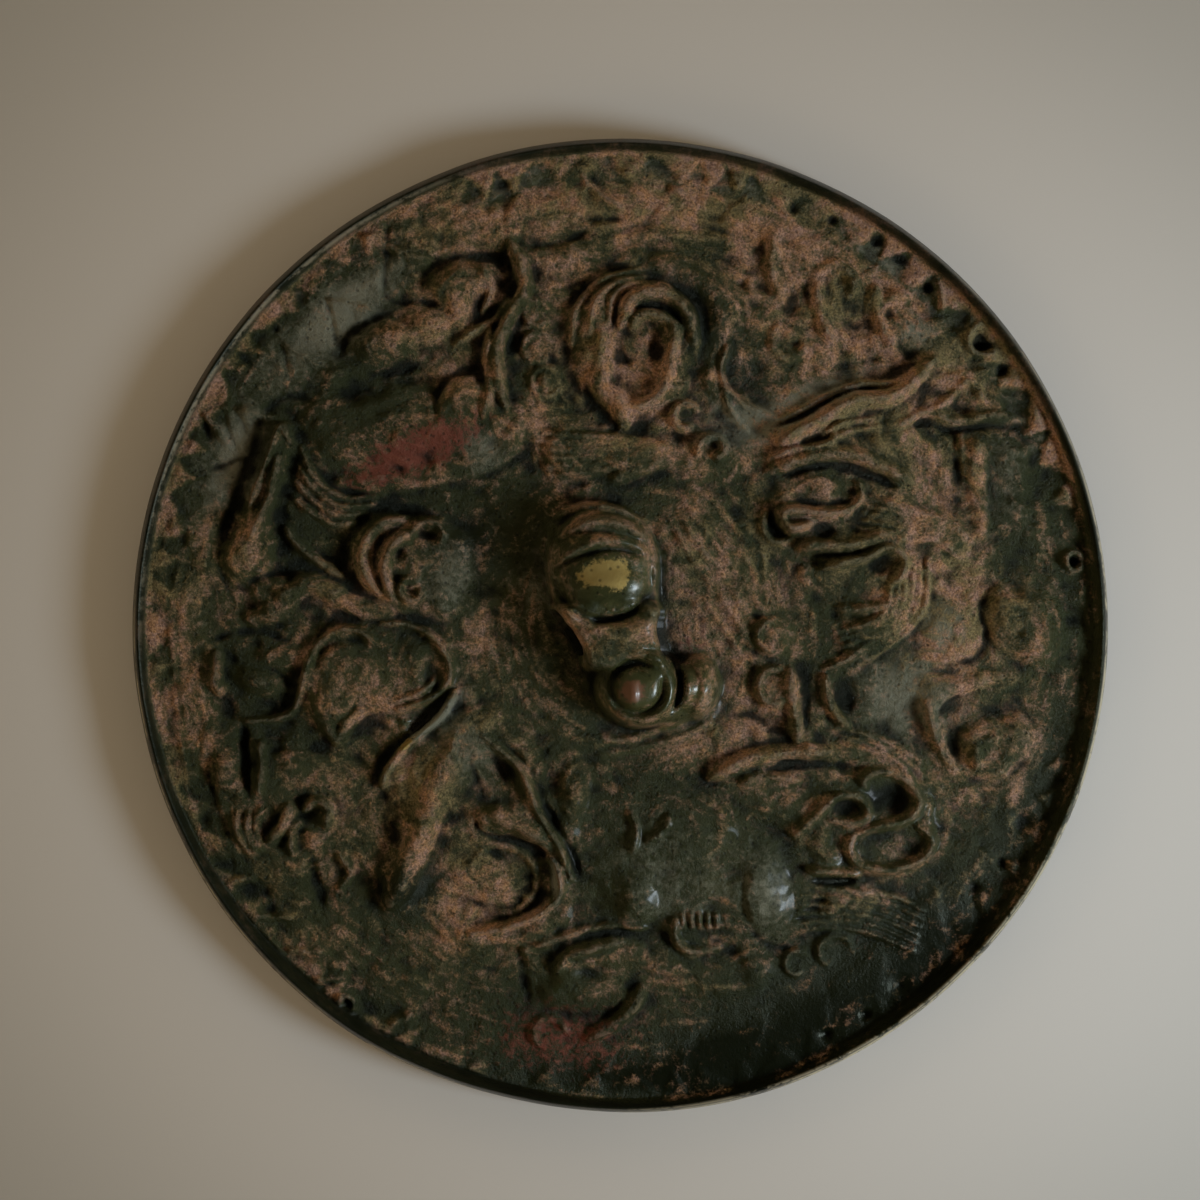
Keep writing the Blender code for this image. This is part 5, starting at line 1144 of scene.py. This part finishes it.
patina = {
    "black": (0.007, 0.0095, 0.0035),
    "dark": (0.031, 0.038, 0.0135),       # sound patina in the low ground
    "olive": (0.086, 0.090, 0.034), "oliveFrom": 0.15, "oliveEarth": 0.4,
    # grey-green patina colour, also used for painted sheen
    "slate": (0.235, 0.240, 0.180), "slateMask": 0.85, "slatePatches": 0.2,
    "crimson": (0.22, 0.055, 0.038), "crimsonCover": 0.9, "crimsonDull": 0.7,
    # near-black: real black patina on the rim and in pits, and painted shade in recesses and inside the hole
    "soot": (0.004, 0.005, 0.003), "paintedShadeCover": 0.92, "rimCover": 0.85, "pitCover": 0.5,
    # worn crests: lighter partly from wear and partly as a painted highlight line
    "rubbed": (0.30, 0.26, 0.17), "rubCover": 0.45, "rubMetal": 0.5, "rimRub": 0.2,
    # bare metal of the worn edge, also standing in as a painted highlight on the lit side of the rim
    "bare": (0.62, 0.56, 0.40),
    # gold-coloured metal of worn spots, also used for one painted highlight streak
    "brassAndHighlight": (0.55, 0.40, 0.13), "brassMetal": 0.6, "brassOnEdge": 0.3,
    "copper": (0.20, 0.095, 0.055),
    # how far the grain frays each patch, and the values it runs between
    "frayed": {"slate": (0.2975, 0.20, 0.85), "crimson": (0.70, 0.30, 0.95), "soot": (0.25, 0.05, 0.75),
               "rubbed": (1.10, 0.55, 1.30), "brassAndHighlight": (0.45, 0.40, 0.75), "copper": (0.50, 0.35, 0.90)},
    "earthShares": (("polish", -0.35), ("rim", -0.45), ("crest", 0.20)),
    "earthRoughness": 0.72, "patinaRoughness": 0.36, "polishedRoughness": 0.22, "blackRoughness": 0.34,
    "rimRoughness": 0.36, "rimShare": 0.7, "rubbedRoughness": 0.3, "brassRoughness": 0.55,
    "glintTint": (0.96, 1.0, 0.80), "glint": 0.35,
    "coat": 0.9, "coatRoughness": 0.24,
    "bumps": (("Grain", 0.6), ("Fine", 0.35), ("Pits", -0.4)), "streakBump": 0.5,
    "bumpStrength": 0.9, "bumpDepth": 0.00030, "smoothShare": 0.85,
}
bareAndLitEdge = {
    "soft": 0.003, "grain": 0.6, "broken": (0.45, 1.0),
    # bearing, cosine where it begins, inner and outer reach as shares of the radius, strength
    # stretches from -55 to 20 face the window light and are painted highlight on the lit wall as well as
    # wear; the others are wear
    "stretches": ((-42, 0.5, 0.982, 0.998, 1.0), (-55, 0.7, 0.974, 0.978, 0.8),
                  (-8, 0.75, 0.982, 0.996, 0.9), (215, 0.6, 0.984, 0.990, 0.7),
                  (145, 0.7, 0.969, 0.972, 0.55), (20, 0.8, 0.984, 0.989, 0.6)),
}


# the bead of the edge, worn to bare metal towards some bearings; on the side facing the window light this
# bright edge is also a painted highlight on the lit outer wall
def wornAndLitEdge(tree, grain):
    flat = vectorStep(tree, "MULTIPLY", objectPlace(tree), (1 / mirror["radius"], 1 / mirror["radius"], 0))
    reach = vectorStep(tree, "LENGTH", flat)
    soft = bareAndLitEdge["soft"]
    total = 0.0
    for bearing, narrow, inner, outer, strength in bareAndLitEdge["stretches"]:
        angle = math.radians(bearing)
        towards = vectorStep(tree, "DOT_PRODUCT", flat, (math.cos(angle), math.sin(angle), 0))
        share = times(tree, rampUp(tree, towards, narrow, 1.0), strength)
        for low, high in ((inner - soft, inner + soft), (outer + soft, outer - soft)):
            share = times(tree, share, rampUp(tree, reach, low, high))
        total = maths(tree, "MAXIMUM", total, share)
    broken = maths(tree, "MULTIPLY_ADD", grain["Grain"], bareAndLitEdge["grain"], grain["Patches"])
    return times(tree, total, rampUp(tree, broken, *bareAndLitEdge["broken"]))


# a patch with its outline frayed by the grain
def frayed(tree, grain, name, value, most=1.0):
    fray, low, high = patina["frayed"][name]
    moved = maths(tree, "MULTIPLY_ADD", maths(tree, "SUBTRACT", grain["Grain"], 0.5), fray, value)
    return rampUp(tree, moved, low, high, 0.0, most)


# patina in the low ground, blackened and turned grey-green in places, with painted sheen patches where
# slopes face the light
def patinaColour(tree, mask, grain):
    tarnish = rampUp(tree, mask["earth"], 0.0, patina["oliveEarth"], patina["oliveFrom"], 1.0)
    ground = mixed(tree, times(tree, grain["Patches"], tarnish), patina["dark"], patina["olive"])
    ground = mixed(tree, mask["black"], ground, patina["black"])
    slate = times(tree, mask["slate"], patina["slateMask"])
    slate = maths(tree, "MULTIPLY_ADD", grain["Patches"], patina["slatePatches"], slate)
    return mixed(tree, frayed(tree, grain, "slate", slate), ground, patina["slate"])


def makeReliefFinish():
    material, tree, shader = principled("patinated relief bronze")
    mask = {name: pointMask(tree, name) for name in [*masks, "rim"]}
    grain = useGroup(tree, grainGroup, Scale=1.0)
    amount = mask["earth"]
    for name, share in patina["earthShares"]:
        amount = maths(tree, "MULTIPLY_ADD", mask[name], share, amount)
    earth = useGroup(tree, earthGroup, Amount=amount, Grain=grain["Grain"], Fine=grain["Fine"],
                     Streak=mask["streak"], Patches=grain["Patches"], Tint=grain["Tint"])
    red = frayed(tree, grain, "crimson", mask["crimson"])
    # crests lightened partly as wear and partly as a painted highlight
    worn = maths(tree, "MULTIPLY_ADD", mask["rim"], -patina["rimRub"], mask["crest"])
    rubAndHighlight = frayed(tree, grain, "rubbed", worn)
    # the bright edge: real wear, and a painted highlight on the side of the rim facing the window light
    edge = wornAndLitEdge(tree, grain)
    # gold-coloured wear, with a painted highlight streak
    giltAndHighlight = maths(tree, "MULTIPLY_ADD", edge, patina["brassOnEdge"], mask["brassAndHighlight"])
    giltAndHighlight = frayed(tree, grain, "brassAndHighlight", giltAndHighlight)

    colour = mixed(tree, earth["Cover"], patinaColour(tree, mask, grain), earth["Color"])
    # painted shade darkens recesses and the inside of the hole with the near-black colour, which also
    # blackens the rim and pits
    for share, name in ((times(tree, red, patina["crimsonCover"]), "crimson"),
                        (frayed(tree, grain, "soot", mask["hollow"], patina["paintedShadeCover"]), "soot"),
                        (times(tree, mask["rim"], patina["rimCover"]), "soot"),
                        (times(tree, rubAndHighlight, patina["rubCover"]), "rubbed"),
                        (edge, "bare"),
                        (giltAndHighlight, "brassAndHighlight"),
                        (frayed(tree, grain, "copper", mask["copper"]), "copper"),
                        (times(tree, grain["Pits"], patina["pitCover"]), "soot")):
        colour = mixed(tree, share, colour, patina[name])
    feed(tree, shader.inputs["Base Color"], colour)

    rubAndHighlight = maths(tree, "MAXIMUM", rubAndHighlight, edge)
    cover = maths(tree, "MAXIMUM", earth["Cover"], times(tree, red, patina["crimsonDull"]))
    rough = mixed(tree, cover, patina["patinaRoughness"], patina["earthRoughness"])
    for share, name in ((mask["polish"], "polishedRoughness"), (mask["black"], "blackRoughness"),
                        (times(tree, mask["rim"], patina["rimShare"]), "rimRoughness"),
                        (rubAndHighlight, "rubbedRoughness"),
                        (maths(tree, "MAXIMUM", giltAndHighlight, mask["copper"]), "brassRoughness")):
        rough = mixed(tree, share, rough, patina[name])
    feed(tree, shader.inputs["Roughness"], rough)
    feed(tree, shader.inputs["Metallic"], maths(tree, "MAXIMUM", times(tree, rubAndHighlight, patina["rubMetal"]),
                                                times(tree, giltAndHighlight, patina["brassMetal"])))
    shader.inputs["Specular Tint"].default_value = (*patina["glintTint"], 1)
    shader.inputs["Specular IOR Level"].default_value = patina["glint"]
    bare = maths(tree, "SUBTRACT", 1.0, giltAndHighlight)
    feed(tree, shader.inputs["Coat Weight"], times(tree, times(tree, mask["polish"], patina["coat"]), bare))
    shader.inputs["Coat Roughness"].default_value = patina["coatRoughness"]

    raised = times(tree, mask["streak"], patina["streakBump"])
    for name, share in patina["bumps"]:
        raised = maths(tree, "MULTIPLY_ADD", grain[name], share, raised)
    smooth = maths(tree, "MAXIMUM", maths(tree, "MAXIMUM", mask["polish"], mask["rim"]), mask["black"])
    left = maths(tree, "MULTIPLY_ADD", smooth, -patina["smoothShare"], 1.0)
    bumped(tree, shader, times(tree, raised, left), patina["bumpStrength"], patina["bumpDepth"])
    return material


plainFace = {
    "dark": (0.06, 0.065, 0.05), "light": (0.14, 0.13, 0.095), "earth": 0.22, "grainScale": 0.5,
    "roughness": (0.33, 0.8), "metal": (0.75, 0.05),      # clean, and under earth
    "bumpStrength": 0.2, "bumpDepth": 0.00030,
}


def makePlainFaceFinish():
    material, tree, shader = principled("dulled mirror face")
    grain = useGroup(tree, grainGroup, Scale=plainFace["grainScale"])
    earth = useGroup(tree, earthGroup, Amount=plainFace["earth"], Grain=grain["Grain"], Fine=grain["Fine"],
                     Patches=grain["Patches"], Tint=grain["Tint"])
    ground = mixed(tree, grain["Patches"], plainFace["dark"], plainFace["light"])
    feed(tree, shader.inputs["Base Color"], mixed(tree, earth["Cover"], ground, earth["Color"]))
    feed(tree, shader.inputs["Roughness"], mixed(tree, earth["Cover"], *plainFace["roughness"]))
    feed(tree, shader.inputs["Metallic"], mixed(tree, earth["Cover"], *plainFace["metal"]))
    bumped(tree, shader, grain["Grain"], plainFace["bumpStrength"], plainFace["bumpDepth"])
    return material


casting.data.materials.append(makeReliefFinish())
casting.data.materials.append(makePlainFaceFinish())
for face in casting.data.polygons:
    face.material_index = 1 if face.normal.z < -0.9 and face.center.z < mirror["faceChamfer"] / 10 else 0
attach(casting, "root")
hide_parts("mirror")
print("finishes made")

stage = {
    "floorSize": 3.0, "floorColour": (0.77, 0.76, 0.73), "floorRoughness": 0.9,
    "shadedFarColour": (0.50, 0.50, 0.47), "paintedFalloff": (0.075, 0.150),    # painted shade: the floor darkens away from the mirror, standing in for the light falling off
    "warmLight": (0.70, 0.53, 0.335), "warmStrength": 1.0,
    "keyPlace": (0.315, -0.10, 0.185), "keySize": 0.12, "keyPower": 0.74, "keyColour": (0.78, 0.90, 1.0),
    # a dark card over the camera keeps the flat metal dark
    "cardSize": 0.46, "cardHeight": 0.36, "cardCorners": 48, "cardColour": (0.01, 0.01, 0.01),
    "cameraPlace": (-0.00312, 0.00413, 0.2581), "lens": 50.0, "sensor": 36.0,
}


def layFloor():
    bpy.ops.mesh.primitive_plane_add(size=stage["floorSize"])
    floor = bpy.context.active_object
    floor.name = "floor"
    material, tree, shader = principled("pale floor")
    # painted shade: darker with distance from the mirror
    paintedDim = rampUp(tree, vectorStep(tree, "LENGTH", objectPlace(tree)), *stage["paintedFalloff"])
    feed(tree, shader.inputs["Base Color"], mixed(tree, paintedDim, stage["floorColour"], stage["shadedFarColour"]))
    shader.inputs["Roughness"].default_value = stage["floorRoughness"]
    floor.data.materials.append(material)


def setLights():
    world = bpy.data.worlds.new("soft room")
    world.use_nodes = True
    world.node_tree.nodes["Background"].inputs["Color"].default_value = (*stage["warmLight"], 1)
    world.node_tree.nodes["Background"].inputs["Strength"].default_value = stage["warmStrength"]
    world.cycles_visibility.glossy = False     # the metal mirrors the window light alone
    bpy.context.scene.world = world
    data = bpy.data.lights.new("window side light", "AREA")
    data.shape = "DISK"
    data.size = stage["keySize"]
    data.energy = stage["keyPower"]
    data.color = stage["keyColour"]
    light = bpy.data.objects.new("window side light", data)
    light.location = stage["keyPlace"]
    light.rotation_euler = light.location.to_track_quat("Z", "Y").to_euler()
    bpy.context.scene.collection.objects.link(light)


def hangCard():
    bpy.ops.mesh.primitive_circle_add(vertices=stage["cardCorners"], radius=stage["cardSize"],
                                      fill_type="NGON", location=(0, 0, stage["cardHeight"]))
    card = bpy.context.active_object
    card.name = "dark_card"
    material, tree, shader = principled("dark card")
    shader.inputs["Base Color"].default_value = (*stage["cardColour"], 1)
    shader.inputs["Roughness"].default_value = 1.0
    card.data.materials.append(material)


def setCamera():
    data = bpy.data.cameras.new("camera above")
    data.lens = stage["lens"]
    data.sensor_width = stage["sensor"]
    camera = bpy.data.objects.new("camera above", data)
    camera.location = stage["cameraPlace"]
    bpy.context.scene.collection.objects.link(camera)
    bpy.context.scene.camera = camera
    bpy.context.scene.view_settings.view_transform = "Standard"


layFloor()
setLights()
hangCard()
setCamera()
print("floor, lights and camera set")
